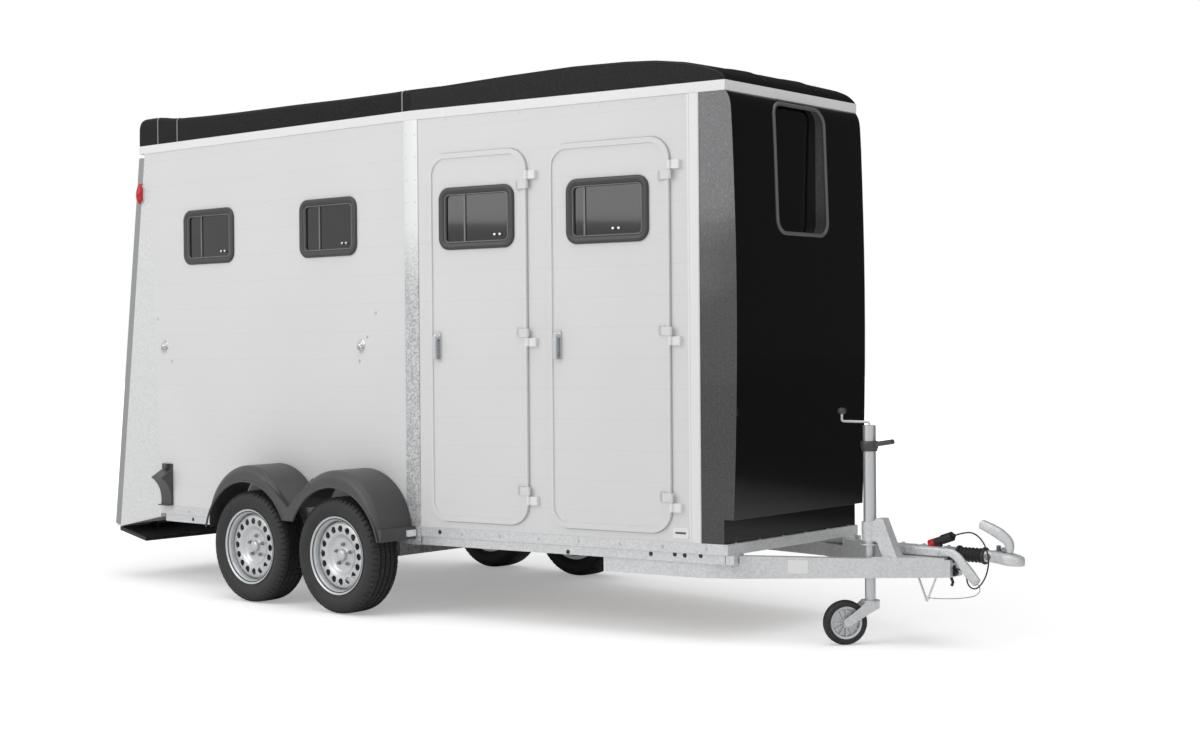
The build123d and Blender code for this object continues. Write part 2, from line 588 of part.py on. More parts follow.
# Side doors in the right wall, hinged at their front edges
for door, near, far in DOORS:
    leaf_size = (far - near, DOOR_TOP - DOOR_BOTTOM)
    centre = on_front(-1, (near + far) / 2, (DOOR_BOTTOM + DOOR_TOP) / 2)
    window = [on_front(-1, (near + far) / 2, WINDOW_MIDDLE)]
    hinge_at = FRONT_WALL - near + HINGE_GAP
    with BuildPart() as leaf:
        with BuildSketch(front_plane(-1, DOOR_PROUD)):
            with Locations(centre):
                RectangleRounded(*leaf_size, DOOR_CORNER)
            window_outline(window, DOOR_WINDOW_WIDTH, SLEEVE_BORDER, Mode.SUBTRACT)
        extrude(amount=-(DOOR_PROUD + DOOR_INNER))
        with BuildSketch(front_plane(-1, DOOR_PROUD)):
            with Locations(centre):
                RectangleRounded(*leaf_size, DOOR_CORNER)
                RectangleRounded(leaf_size[0] - 2 * BEAD_WIDTH, leaf_size[1] - 2 * BEAD_WIDTH,
                                 DOOR_CORNER - BEAD_WIDTH, mode=Mode.SUBTRACT)
        extrude(amount=BEAD_PROUD)
        # Hinge halves on the leaf: a strap and a knuckle, above or below the wall's half
        for split, up in HINGES:
            with BuildSketch(front_section(split + up * RUNNING_GAP / 2)):
                with Locations((hinge_at, -HINGE_STANDOFF)):
                    Circle(KNUCKLE_RADIUS)
                with Locations((hinge_at - STRAP_LENGTH / 2, -(DOOR_PROUD + BEAD_PROUD + STRAP_THICKNESS / 2))):
                    Rectangle(STRAP_LENGTH, STRAP_THICKNESS)
                with Locations((hinge_at, -HINGE_STANDOFF)):
                    Circle(HINGE_PIN + PIN_GAP, mode=Mode.SUBTRACT)
            extrude(amount=up * KNUCKLE_LENGTH)
    save(leaf, door + "_leaf")

    with BuildPart() as door_frame:
        with BuildSketch(front_plane(-1, DOOR_PROUD)):
            window_outline(window, DOOR_WINDOW_WIDTH, 0)
            window_outline(window, DOOR_WINDOW_WIDTH, FRAME_BORDER, Mode.SUBTRACT)
        extrude(amount=FRAME_PROUD)
        with BuildSketch(front_plane(-1, DOOR_PROUD)):
            window_outline(window, DOOR_WINDOW_WIDTH, SLEEVE_BORDER)
            window_outline(window, DOOR_WINDOW_WIDTH, FRAME_BORDER, Mode.SUBTRACT)
        extrude(amount=-(DOOR_PROUD + DOOR_INNER))
    save(door_frame, door + "_window_frame")
    with BuildPart() as door_glass:
        with BuildSketch(front_plane(-1, DOOR_PROUD - GLASS_DEPTH)):
            window_outline(window, DOOR_WINDOW_WIDTH, FRAME_BORDER)
        extrude(amount=-GLASS_THICKNESS)
    save(door_glass, door + "_window_glass")

    # Lock plate with a lever that stands off it
    handle_at = far - HANDLE_INSET
    plate_face = DOOR_PROUD + HANDLE_PLATE[2]
    with BuildPart() as handle:
        with BuildSketch(front_plane(-1, DOOR_PROUD)):
            with Locations(on_front(-1, handle_at, HANDLE_HEIGHT)):
                RectangleRounded(HANDLE_PLATE[0], HANDLE_PLATE[1], HANDLE_CORNER)
        extrude(amount=HANDLE_PLATE[2])
        with BuildSketch(front_plane(-1, plate_face)):
            with Locations(on_front(-1, handle_at, HANDLE_HEIGHT + HANDLE_PIVOT[1])):
                Circle(HANDLE_PIVOT[0])
        extrude(amount=LEVER_STANDOFF)
        with BuildSketch(front_plane(-1, plate_face + LEVER_STANDOFF - LEVER_SIZE[2])):
            with Locations(on_front(-1, handle_at, HANDLE_HEIGHT - LEVER_DROP)):
                RectangleRounded(LEVER_SIZE[0], LEVER_SIZE[1], LEVER_SIZE[0] / 2 - 1)
        extrude(amount=LEVER_SIZE[2])
    save(handle, door + "_handle")

# Hinge halves on the wall: plate, knuckle and the pin that runs into the leaf's half
with BuildPart() as wall_hinges:
    for door, near, far in DOORS:
        hinge_at = FRONT_WALL - near + HINGE_GAP
        for split, up in HINGES:
            with BuildSketch(front_section(split - up * RUNNING_GAP / 2)):
                with Locations((hinge_at, -HINGE_STANDOFF)):
                    Circle(KNUCKLE_RADIUS)
                with Locations((hinge_at + STRAP_LENGTH / 2, -HINGE_STANDOFF / 2)):
                    Rectangle(STRAP_LENGTH, HINGE_STANDOFF)
            extrude(amount=-up * KNUCKLE_LENGTH)
            with BuildSketch(front_section(split - up * RUNNING_GAP / 2)):
                with Locations((hinge_at, -HINGE_STANDOFF)):
                    Circle(HINGE_PIN)
            extrude(amount=up * (RUNNING_GAP + KNUCKLE_LENGTH))
save(wall_hinges, "door_wall_hinges")

# Rear frame: wedge pillars outside the walls' sloping edges, a header and a sill
PILLAR_SLOPE = (PILLAR_FOOT - PILLAR_TOP) / (RAIL_BOTTOM - PILLAR_FOOT_HEIGHT)
with BuildPart() as rear_frame:
    for side in (-1, 1):
        with BuildSketch(side_plane(side, HALF_WIDTH)):
            with BuildLine():
                Polyline(*side_points(side, [
                    (slanted_wall_edge(RAIL_BOTTOM), RAIL_BOTTOM), (back(PILLAR_TOP), RAIL_BOTTOM),
                    (back(PILLAR_FOOT), PILLAR_FOOT_HEIGHT),
                    (slanted_wall_edge(SILL_TOP), PILLAR_FRONT_FOOT),
                    (slanted_wall_edge(SILL_TOP), SILL_TOP)]), close=True)
            make_face()
        extrude(amount=-PILLAR_THICKNESS)
    with BuildSketch(Plane.XZ):
        with BuildLine():
            low = RAIL_BOTTOM - HEADER_HEIGHT
            Polyline((slanted_wall_edge(RAIL_BOTTOM), RAIL_BOTTOM), (back(PILLAR_TOP), RAIL_BOTTOM),
                     (back(PILLAR_TOP + PILLAR_SLOPE * HEADER_HEIGHT), low),
                     (slanted_wall_edge(low), low), close=True)
        make_face()
    extrude(amount=HALF_WIDTH - PILLAR_THICKNESS, both=True)
    with BuildSketch(Plane.XZ):
        with BuildLine():
            Polyline((back(PILLAR_FOOT), PILLAR_FOOT_HEIGHT),
                     (back(PILLAR_FOOT - PILLAR_SLOPE * SILL_DEPTH), PILLAR_FOOT_HEIGHT + SILL_DEPTH),
                     (back(PILLAR_FOOT - SILL_DEPTH), PILLAR_FOOT_HEIGHT + SILL_DEPTH),
                     (back(PILLAR_FOOT - SILL_DEPTH), PILLAR_FOOT_HEIGHT + SILL_RISE), close=True)
        make_face()
    extrude(amount=HALF_WIDTH - PILLAR_THICKNESS, both=True)
save(rear_frame, "rear_frame")

# Ramp hinge: its axis runs along the ramp's foot, just outside the ramp's outer face
RAMP_LEAN = atan2(PILLAR_FOOT - PILLAR_TOP, RAIL_BOTTOM - PILLAR_FOOT_HEIGHT)
RAMP_FOOT = PILLAR_FOOT + (PILLAR_FOOT_HEIGHT - RAMP_AXIS_HEIGHT) * PILLAR_SLOPE
RAMP_AXIS_X = back(RAMP_FOOT + (RUNNING_GAP + RAMP_THICKNESS + RAMP_AXIS_OUT) / cos(RAMP_LEAN))
RAMP_PLANE = Plane(origin=(RAMP_AXIS_X, 0, RAMP_AXIS_HEIGHT), x_dir=(0, -1, 0),
                   z_dir=(-cos(RAMP_LEAN), 0, sin(RAMP_LEAN)))
RAMP_LENGTH = (RAIL_BOTTOM - RAMP_AXIS_HEIGHT) / cos(RAMP_LEAN) - RAMP_TOP_GAP


def hinge_section(y):
    """Plane across the ramp's hinge axis; its x runs up the ramp and its z along the axis."""
    return Plane(origin=(RAMP_AXIS_X, y, RAMP_AXIS_HEIGHT),
                 x_dir=(sin(RAMP_LEAN), 0, cos(RAMP_LEAN)), z_dir=(0, 1, 0))


def bumper_top(distance):
    """Height of the bumper plate's sloping top, this far behind the front."""
    return BUMPER_TOP - BUMPER_DROP * (BUMPER_REAR - distance) / (BUMPER_REAR - BUMPER_FRONT)


# Bumper plate under the ramp, with its hangers, the hinge carrier, fixed knuckles and pins
with BuildPart() as bumper:
    with BuildSketch(Plane.XZ):
        with BuildLine():
            Polyline((back(BUMPER_REAR), BUMPER_TOP), (back(BUMPER_REAR), BUMPER_TOP - BUMPER_THICKNESS),
                     (back(BUMPER_FRONT), bumper_top(BUMPER_FRONT) - BUMPER_THICKNESS),
                     (back(BUMPER_FRONT), bumper_top(BUMPER_FRONT)), close=True)
        make_face()
    extrude(amount=HALF_WIDTH, both=True)
    with BuildSketch(Plane.XZ):
        with Locations((back((REAR_REACH + CARRIER_FRONT) / 2), CARRIER_TOP - CARRIER_THICKNESS / 2)):
            Rectangle(REAR_REACH - CARRIER_FRONT, CARRIER_THICKNESS)
    extrude(amount=CARRIER_HALF, both=True)
    for side in (-1, 1):
        with BuildSketch(side_plane(side, HANGER_PLACE)):
            with BuildLine():
                Polyline(*side_points(side, [
                    (back(PILLAR_FOOT), PILLAR_FOOT_HEIGHT), (back(PILLAR_FOOT), CARRIER_TOP),
                    (back(PILLAR_FOOT - SILL_DEPTH), CARRIER_TOP),
                    (back(PILLAR_FOOT - SILL_DEPTH), PILLAR_FOOT_HEIGHT + SILL_RISE)]), close=True)
            make_face()
        extrude(amount=HANGER_THICKNESS)
    for y in RAMP_HINGES:
        for low in (y - RAMP_KNUCKLE_LENGTH - RUNNING_GAP, y + RAMP_KNUCKLE_LENGTH / 2 + RUNNING_GAP):
            with BuildSketch(Plane.XZ.offset(-low)):
                with Locations((RAMP_AXIS_X, RAMP_AXIS_HEIGHT)):
                    Circle(RAMP_KNUCKLE)
                with Locations((RAMP_AXIS_X, (RAMP_AXIS_HEIGHT + CARRIER_TOP) / 2)):
                    Rectangle(2 * RAMP_KNUCKLE - 6, RAMP_AXIS_HEIGHT - CARRIER_TOP)
            extrude(amount=-RAMP_KNUCKLE_LENGTH / 2)
        with BuildSketch(Plane.XZ.offset(RAMP_KNUCKLE_LENGTH + RUNNING_GAP - y)):
            with Locations((RAMP_AXIS_X, RAMP_AXIS_HEIGHT)):
                Circle(RAMP_PIN)
        extrude(amount=-2 * (RAMP_KNUCKLE_LENGTH + RUNNING_GAP))
save(bumper, "bumper_plate")

# Ramp: a flat panel that leans on the pillars, with hinge straps and knuckles along its foot
with BuildPart() as ramp:
    with BuildSketch(RAMP_PLANE.offset(-RAMP_AXIS_OUT)):
        with Locations((0, (RAMP_LENGTH + RAMP_FOOT_GAP) / 2)):
            Rectangle(2 * (HALF_WIDTH - RAMP_SIDE_GAP), RAMP_LENGTH - RAMP_FOOT_GAP)
    extrude(amount=-RAMP_THICKNESS)
    for y in RAMP_HINGES:
        with BuildSketch(hinge_section(y - RAMP_KNUCKLE_LENGTH / 2)):
            Circle(RAMP_KNUCKLE)
            with Locations((RAMP_STRAP / 2, RAMP_AXIS_OUT - RAMP_STRAP_THICKNESS / 2)):
                Rectangle(RAMP_STRAP, RAMP_STRAP_THICKNESS)
            Circle(RAMP_PIN + PIN_GAP, mode=Mode.SUBTRACT)
        extrude(amount=RAMP_KNUCKLE_LENGTH)
save(ramp, "ramp")

# Red side lamps on the pillars, and slim tail lamps on the bumper's rear edge
with BuildPart() as rear_lamps:
    for side in (-1, 1):
        with BuildSketch(side_plane(side, HALF_WIDTH)):
            with Locations(on_side(side, back(LAMP_PLACE) + LAMP_BASE[0] / 2, LAMP_HEIGHT)):
                Rectangle(LAMP_BASE[0], LAMP_BASE[1])
        extrude(amount=LAMP_BASE[2])
        with BuildSketch(side_plane(side, HALF_WIDTH + LAMP_BASE[2])):
            with Locations(on_side(side, back(LAMP_PLACE), LAMP_HEIGHT)):
                SlotOverall(LAMP_LENGTH, LAMP_WIDTH, rotation=90 + side * degrees(RAMP_LEAN))
        extrude(amount=LAMP_LENS)
        with BuildSketch(Plane.YZ.offset(back(BUMPER_REAR))):
            with Locations((side * TAIL_LAMP_PLACE, TAIL_LAMP_HEIGHT)):
                RectangleRounded(TAIL_LAMP_SIZE[0], TAIL_LAMP_SIZE[1], TAIL_LAMP_SIZE[1] / 3)
        extrude(amount=-TAIL_LAMP_SIZE[2])
save(rear_lamps, "rear_lamps")

# Holders low on the side walls: a back plate with a tray below the chock and a clip above it
with BuildPart() as chock_holders:
    for side in (-1, 1):
        with BuildSketch(side_plane(side, HALF_WIDTH)):
            with Locations(on_side(side, back(CHOCK_MIDDLE), (CHOCK_FOOT - HOLDER_THICKNESS + HOLDER_TOP) / 2)):
                Rectangle(CHOCK_WIDTH, HOLDER_TOP - CHOCK_FOOT + HOLDER_THICKNESS)
        extrude(amount=HOLDER_THICKNESS)
        with BuildSketch(side_plane(side, HALF_WIDTH)):
            with Locations(on_side(side, back(CHOCK_MIDDLE), CHOCK_FOOT - HOLDER_THICKNESS / 2)):
                Rectangle(CHOCK_WIDTH, HOLDER_THICKNESS)
        extrude(amount=HOLDER_TRAY)
        with BuildSketch(side_plane(side, HALF_WIDTH)):
            with Locations(on_side(side, back(CHOCK_MIDDLE), (CHOCK_HEAD + CLIP_GAP + HOLDER_TOP) / 2)):
                Rectangle(CLIP_WIDTH, HOLDER_TOP - CHOCK_HEAD - CLIP_GAP)
        extrude(amount=CLIP_DEPTH)
save(chock_holders, "chock_holders")

# Wheel chocks stand on their toes, with their bases to the wall and their hollow faces outwards
with BuildPart() as wheel_chocks:
    for side in (-1, 1):
        near = HALF_WIDTH + HOLDER_THICKNESS
        with BuildSketch(Plane.YZ.offset(back(CHOCK_MIDDLE) - CHOCK_WIDTH / 2)):
            with BuildLine():
                head_edge = (side * (near + CHOCK_DEPTH), CHOCK_HEAD - CHOCK_HEAD_DROP)
                Polyline(head_edge, (side * near, CHOCK_HEAD), (side * near, CHOCK_FOOT),
                         (side * (near + CHOCK_TOE), CHOCK_FOOT))
                ThreePointArc((side * (near + CHOCK_TOE), CHOCK_FOOT),
                              (side * (near + CHOCK_DEPTH / 3), (CHOCK_FOOT + CHOCK_HEAD) / 2), head_edge)
            make_face()
        extrude(amount=CHOCK_WIDTH)
save(wheel_chocks, "wheel_chocks")

# Mudguards: two arches with a rounded outer edge that join in a V between the wheels
WHEEL_X = (back(FRONT_WHEEL), back(FRONT_WHEEL + AXLE_SPACING))
GUARD_MIDDLE = (WHEEL_X[0] + WHEEL_X[1]) / 2
GUARD_AXIS = GUARD_TOP - GUARD_RADIUS
GUARD_INNER = HALF_WIDTH + POST_PROUD


def guard_profile(side, shrink):
    """Section of an arch over its axis, shrunk by a skin at the top and the outer side."""
    crown = GUARD_AXIS + GUARD_RADIUS - shrink
    outer = GUARD_INNER + GUARD_WIDTH - shrink
    bend = GUARD_ROUND - shrink
    Polyline((side * outer, crown - bend), (side * outer, GUARD_AXIS), (side * GUARD_INNER, GUARD_AXIS),
             (side * GUARD_INNER, crown), (side * (outer - bend), crown))
    ThreePointArc((side * (outer - bend), crown),
                  (side * (outer - bend * (1 - sin(radians(45)))), crown - bend * (1 - cos(radians(45)))),
                  (side * outer, crown - bend))


def valley_points(side, drop):
    """Outline of the V between the arches, its top lowered."""
    places = ((-VALLEY_HALF, VALLEY_TOP - drop), (0, VALLEY_LOW - drop), (VALLEY_HALF, VALLEY_TOP - drop),
              (VALLEY_HALF, VALLEY_FOOT), (-VALLEY_HALF, VALLEY_FOOT))
    return side_points(side, [(GUARD_MIDDLE + along, z) for along, z in places])


for side, side_name in ((-1, "right"), (1, "left")):
    with BuildPart() as guard_space:
        for x in WHEEL_X:
            with BuildSketch(Plane.YZ.offset(x)):
                with BuildLine():
                    guard_profile(side, GUARD_SKIN)
                make_face()
            revolve(axis=Axis((x, 0, GUARD_AXIS), (0, 1, 0)))
        with BuildSketch(side_plane(side, GUARD_INNER)):
            with BuildLine():
                Polyline(*valley_points(side, VALLEY_STEP + 2 * GUARD_SKIN), close=True)
            make_face()
        extrude(amount=GUARD_WIDTH - GUARD_SKIN)
    with BuildPart() as mudguard:
        for x in WHEEL_X:
            with BuildSketch(Plane.YZ.offset(x)):
                with BuildLine():
                    guard_profile(side, 0)
                make_face()
            revolve(axis=Axis((x, 0, GUARD_AXIS), (0, 1, 0)))
        for reach, drop in ((GUARD_WIDTH - GUARD_ROUND / 2, 0), (GUARD_WIDTH, VALLEY_STEP)):
            with BuildSketch(side_plane(side, GUARD_INNER)):
                with BuildLine():
                    Polyline(*valley_points(side, drop), close=True)
                make_face()
            extrude(amount=reach)
        add(guard_space.part, mode=Mode.SUBTRACT)
        # Openings for the wheels, and the level cuts below the feet and below the V
        with BuildSketch(side_plane(side, GUARD_INNER)):
            with Locations(*[on_side(side, x, LIP_HEIGHT) for x in WHEEL_X]):
                Circle(LIP_RADIUS)
            with Locations(on_side(side, GUARD_MIDDLE, GUARD_FOOT / 2)):
                Rectangle(4 * GUARD_RADIUS + AXLE_SPACING, GUARD_FOOT)
            with Locations(on_side(side, GUARD_MIDDLE, VALLEY_FOOT / 2)):
                Rectangle(VALLEY_HALF, VALLEY_FOOT)
        extrude(amount=GUARD_WIDTH, mode=Mode.SUBTRACT)
        low, high = GUARD_BOX_HEIGHTS
        with BuildSketch(side_plane(side, GUARD_INNER)):
            with Locations(on_side(side, WHEEL_X[0] + sum(GUARD_BOX) / 2, (low + high) / 2)):
                Rectangle(GUARD_BOX[1] - GUARD_BOX[0], high - low)
        extrude(amount=GUARD_WIDTH - GUARD_SKIN)
    save(mudguard, "mudguard_" + side_name)

# Clear marker lamps on the front ends of the mudguards
with BuildPart() as marker_lamps:
    for side in (-1, 1):
        with BuildSketch(Plane.YZ.offset(WHEEL_X[0] + GUARD_BOX[1])):
            with Locations((side * (GUARD_INNER + GUARD_SKIN + MARKER_SIZE[0] / 2), sum(GUARD_BOX_HEIGHTS) / 2)):
                RectangleRounded(MARKER_SIZE[0], MARKER_SIZE[1], GUARD_SKIN)
        extrude(amount=MARKER_SIZE[2])
save(marker_lamps, "marker_lamps")

# Wheels: a solid tyre and a dished steel wheel with vent holes, hub and bearing bore
WHEEL_Y = HALF_WIDTH + WHEEL_STANDOFF
WHEELS = (("front_right", 0, -1), ("rear_right", 1, -1), ("front_left", 0, 1), ("rear_left", 1, 1))
for wheel, place, side in WHEELS:
    wheel_x = WHEEL_X[place]
    axis = Axis((wheel_x, 0, TYRE_RADIUS), (0, 1, 0))

    def across(y, r):
        """Place in the section plane at y outside the wheel's middle and radius r."""
        return (side * (WHEEL_Y + y), TYRE_RADIUS + r)

    with BuildPart() as tyre:
        with BuildSketch(Plane.YZ.offset(wheel_x)):
            with BuildLine():
                inner = RIM_HALF - FLANGE_THICKNESS
                Polyline(across(-inner, BULGE_RADIUS - 40), across(-inner, RIM_SEAT),
                         across(inner, RIM_SEAT), across(inner, BULGE_RADIUS - 40))
                ThreePointArc(across(inner, BULGE_RADIUS - 40), across(TYRE_WIDTH / 2, BULGE_RADIUS),
                              across(TREAD_HALF + 8, SHOULDER_RADIUS + 8))
                Polyline(across(TREAD_HALF + 8, SHOULDER_RADIUS + 8), across(TREAD_HALF - 8, TYRE_RADIUS - 3),
                         across(TREAD_HALF - 30, TYRE_RADIUS), across(30 - TREAD_HALF, TYRE_RADIUS),
                         across(8 - TREAD_HALF, TYRE_RADIUS - 3), across(-TREAD_HALF - 8, SHOULDER_RADIUS + 8))
                ThreePointArc(across(-TREAD_HALF - 8, SHOULDER_RADIUS + 8),
                              across(-TYRE_WIDTH / 2, BULGE_RADIUS), across(-inner, BULGE_RADIUS - 40))
            make_face()
        revolve(axis=axis)
    save(tyre, "tyre_" + wheel)

    with BuildPart() as rim:
        with BuildSketch(Plane.YZ.offset(wheel_x)):
            with BuildLine():
                Polyline(across(-RIM_HALF, RIM_FLANGE), across(-RIM_HALF + FLANGE_THICKNESS, RIM_FLANGE),
                         across(-RIM_HALF + FLANGE_THICKNESS, RIM_SEAT),
                         across(RIM_HALF - FLANGE_THICKNESS, RIM_SEAT),
                         across(RIM_HALF - FLANGE_THICKNESS, RIM_FLANGE), across(RIM_HALF, RIM_FLANGE),
                         across(RIM_HALF, RIM_SEAT - RIM_WALL), across(-RIM_HALF, RIM_SEAT - RIM_WALL),
                         close=True)
            make_face()
            with BuildLine():
                Polyline(across(DISC_OFFSET, 0), across(DISC_OFFSET, 90), across(DISC_OFFSET + 22, 110),
                         across(DISC_OFFSET + 22, 160), across(DISC_OFFSET - 4, RIM_SEAT - RIM_WALL),
                         across(DISC_OFFSET - 4 - DISC_THICKNESS, RIM_SEAT - RIM_WALL),
                         across(DISC_OFFSET + 22 - DISC_THICKNESS, 154),
                         across(DISC_OFFSET + 22 - DISC_THICKNESS, 114),
                         across(DISC_OFFSET - DISC_THICKNESS, 94), across(DISC_OFFSET - DISC_THICKNESS, 0),
                         close=True)
            make_face()
        revolve(axis=axis)
        drum_start = BACKPLATE_STANDOFF + BACKPLATE_THICKNESS + RUNNING_GAP
        with BuildSketch(side_plane(side, HALF_WIDTH + drum_start)):
            with Locations(on_side(side, wheel_x, TYRE_RADIUS)):
                Circle(DRUM_RADIUS)
        extrude(amount=WHEEL_STANDOFF + DISC_OFFSET - DISC_THICKNESS - drum_start)
        with BuildSketch(side_plane(side, WHEEL_Y + DISC_OFFSET)):
            with Locations(on_side(side, wheel_x, TYRE_RADIUS)):
                Circle(CAP_RADIUS)
        extrude(amount=CAP_LENGTH)
        with BuildSketch(side_plane(side, HALF_WIDTH)):
            with Locations(on_side(side, wheel_x, TYRE_RADIUS)):
                Circle(SPINDLE_RADIUS + PIN_GAP)
        extrude(amount=SPINDLE_END + 1, mode=Mode.SUBTRACT)
        with BuildSketch(side_plane(side, WHEEL_Y)):
            with Locations(on_side(side, wheel_x, TYRE_RADIUS)):
                with PolarLocations(VENT_CIRCLE, VENT_COUNT):
                    Circle(VENT_RADIUS)
        extrude(amount=RIM_HALF, mode=Mode.SUBTRACT)
    save(rim, "wheel_" + wheel)

# Axles: a square torsion tube, trailing arms, backplates and spindles
for place, axle_name in ((0, "axle_front"), (1, "axle_rear")):
    wheel_x = WHEEL_X[place]
    with BuildPart() as axle:
        with BuildSketch(Plane.XZ):
            with Locations((wheel_x + AXLE_LEAD, CHASSIS_BOTTOM - AXLE_TUBE / 2)):
                Rectangle(AXLE_TUBE, AXLE_TUBE)
        extrude(amount=HALF_WIDTH - ARM_INSET, both=True)
        for side in (-1, 1):
            with BuildSketch(side_plane(side, HALF_WIDTH - ARM_INSET)):
                with BuildLine():
                    Polyline(*side_points(side, [
                        (wheel_x + AXLE_LEAD, CHASSIS_BOTTOM - ARM_DROP),
                        (wheel_x + AXLE_LEAD, CHASSIS_BOTTOM - ARM_DROP - 2 * ARM_END),
                        (wheel_x, TYRE_RADIUS - ARM_RADIUS), (wheel_x, TYRE_RADIUS + ARM_RADIUS)]),
                        close=True)
                make_face()
                with Locations(on_side(side, wheel_x, TYRE_RADIUS),
                               on_side(side, wheel_x + AXLE_LEAD, CHASSIS_BOTTOM - ARM_DROP - ARM_END)):
                    Circle(ARM_END)
                with Locations(on_side(side, wheel_x, TYRE_RADIUS)):
                    Circle(ARM_RADIUS)
            extrude(amount=ARM_INSET + BACKPLATE_STANDOFF - 8)
            with BuildSketch(side_plane(side, HALF_WIDTH + BACKPLATE_STANDOFF - 8)):
                with Locations(on_side(side, wheel_x, TYRE_RADIUS)):
                    Circle(DRUM_RADIUS + 2)
            extrude(amount=BACKPLATE_THICKNESS + 8)
            with BuildSketch(side_plane(side, HALF_WIDTH)):
                with Locations(on_side(side, wheel_x, TYRE_RADIUS)):
                    Circle(SPINDLE_RADIUS)
            extrude(amount=SPINDLE_END)
    save(axle, axle_name)

# Drawbar: two beams in a V that turn to run along the side rails, a deck plate and a tie


def beam_edge(shift):
    """One long edge of a drawbar beam in plan, moved inwards: tip, turn, end."""
    tip_out = BEAM_TIP[1] - shift / cos(BEAM_ANGLE)
    at_front = half_width(0, BEAM_INSET + shift)
    turn = (at_front - tip_out - BEAM_TIP[0] * tan(BEAM_ANGLE)) / (tan(BEAM_ANGLE) - tan(TAPER))
    return [(FRONT_X + BEAM_TIP[0], tip_out), (back(turn), half_width(turn, BEAM_INSET + shift)),
            (back(BEAM_END), half_width(BEAM_END, BEAM_INSET + shift))]


with BuildPart() as drawbar:
    for side in (-1, 1):
        with BuildSketch(Plane.XY.offset(BEAM_LOW)):
            with BuildLine():
                Polyline(*[(x, side * y) for x, y in beam_edge(0) + beam_edge(BEAM_WIDTH)[::-1]], close=True)
            make_face()
        extrude(amount=BEAM_TOP - BEAM_LOW)
    with BuildSketch(Plane.XZ):
        with BuildLine():
            tip_x = FRONT_X + BEAM_TIP[0]
            Polyline((tip_x, BEAM_TOP), (FRONT_X + BEAM_STEP, BEAM_TOP), (FRONT_X + BEAM_STEP, CHASSIS_BOTTOM),
                     (back(BEAM_END), CHASSIS_BOTTOM), (back(BEAM_END), BEAM_LOW), (FRONT_X, BEAM_LOW),
                     (tip_x, BEAM_TIP_LOW), close=True)
        make_face()
    extrude(amount=HALF_WIDTH, both=True, mode=Mode.INTERSECT)
    with BuildSketch(Plane.XY.offset(BEAM_TOP)):
        with BuildLine():
            half_tip = BEAM_TIP[1] + (BEAM_TIP[0] - DECK_FRONT) * tan(BEAM_ANGLE)
            half_rear = BEAM_TIP[1] + (BEAM_TIP[0] - DECK_REAR) * tan(BEAM_ANGLE)
            Polyline((FRONT_X + DECK_FRONT, -half_tip), (FRONT_X + DECK_FRONT, half_tip),
                     (FRONT_X + DECK_REAR, half_rear), (FRONT_X + DECK_REAR, -half_rear), close=True)
        make_face()
    extrude(amount=DECK_THICKNESS)
    with BuildSketch(Plane.XZ):
        with Locations((FRONT_X + TIE_PLACE, BEAM_TOP - TIE_SIZE[1] / 2)):
            Rectangle(*TIE_SIZE)
    extrude(amount=BEAM_TIP[1] + (BEAM_TIP[0] - TIE_PLACE) * tan(BEAM_ANGLE) - BEAM_WIDTH, both=True)
    # Bent hook under the right beam, with the clip that holds the breakaway cable's end
    with BuildSketch(side_plane(-1, HOOK_SIDE)):
        with BuildLine():
            Polyline(*[(FRONT_X + ahead, z) for ahead, z in HOOK_LINE], close=True)
        make_face()
        with Locations((FRONT_X + CLIP_FRONT - CLIP_SIZE[0] / 2, CLIP_LEVEL)):
            Rectangle(*CLIP_SIZE)
    extrude(amount=HOOK_THICKNESS / 2, both=True)
save(drawbar, "drawbar")

# Overrun device: housing on the drawbar's deck, and the shaft that carries the coupling
DECK = BEAM_TOP + DECK_THICKNESS
with BuildPart() as overrun_device:
    with BuildSketch(Plane.YZ.offset(FRONT_X + OVERRUN_REAR)):
        with Locations((0, (DECK + OVERRUN_TOP) / 2)):
            RectangleRounded(OVERRUN_WIDTH, OVERRUN_TOP - DECK, 14)
    extrude(amount=OVERRUN_FRONT - OVERRUN_REAR)
    with BuildSketch(Plane.YZ.offset(FRONT_X + OVERRUN_FRONT)):
        with Locations((0, COUPLING_MIDDLE)):
            Circle(SHAFT_RADIUS)
    extrude(amount=HEAD_REAR - OVERRUN_FRONT)
save(overrun_device, "overrun_device")

# Ribbed rubber bellows round the shaft
with BuildPart() as bellows:
    with BuildSketch(Plane.XZ):
        with BuildLine():
            pitch = (BELLOWS[1] - BELLOWS[0]) / (2 * BELLOWS_RIBS)
            ribs = [(FRONT_X + BELLOWS[0] + i * pitch, COUPLING_MIDDLE + BELLOWS_RADII[i % 2])
                    for i in range(2 * BELLOWS_RIBS + 1)]
            Polyline((FRONT_X + BELLOWS[0], COUPLING_MIDDLE + SHAFT_RADIUS), *ribs,
                     (FRONT_X + BELLOWS[1], COUPLING_MIDDLE + SHAFT_RADIUS), close=True)
        make_face()
    revolve(axis=Axis((FRONT_X, 0, COUPLING_MIDDLE), (1, 0, 0)))
save(bellows, "coupling_bellows")

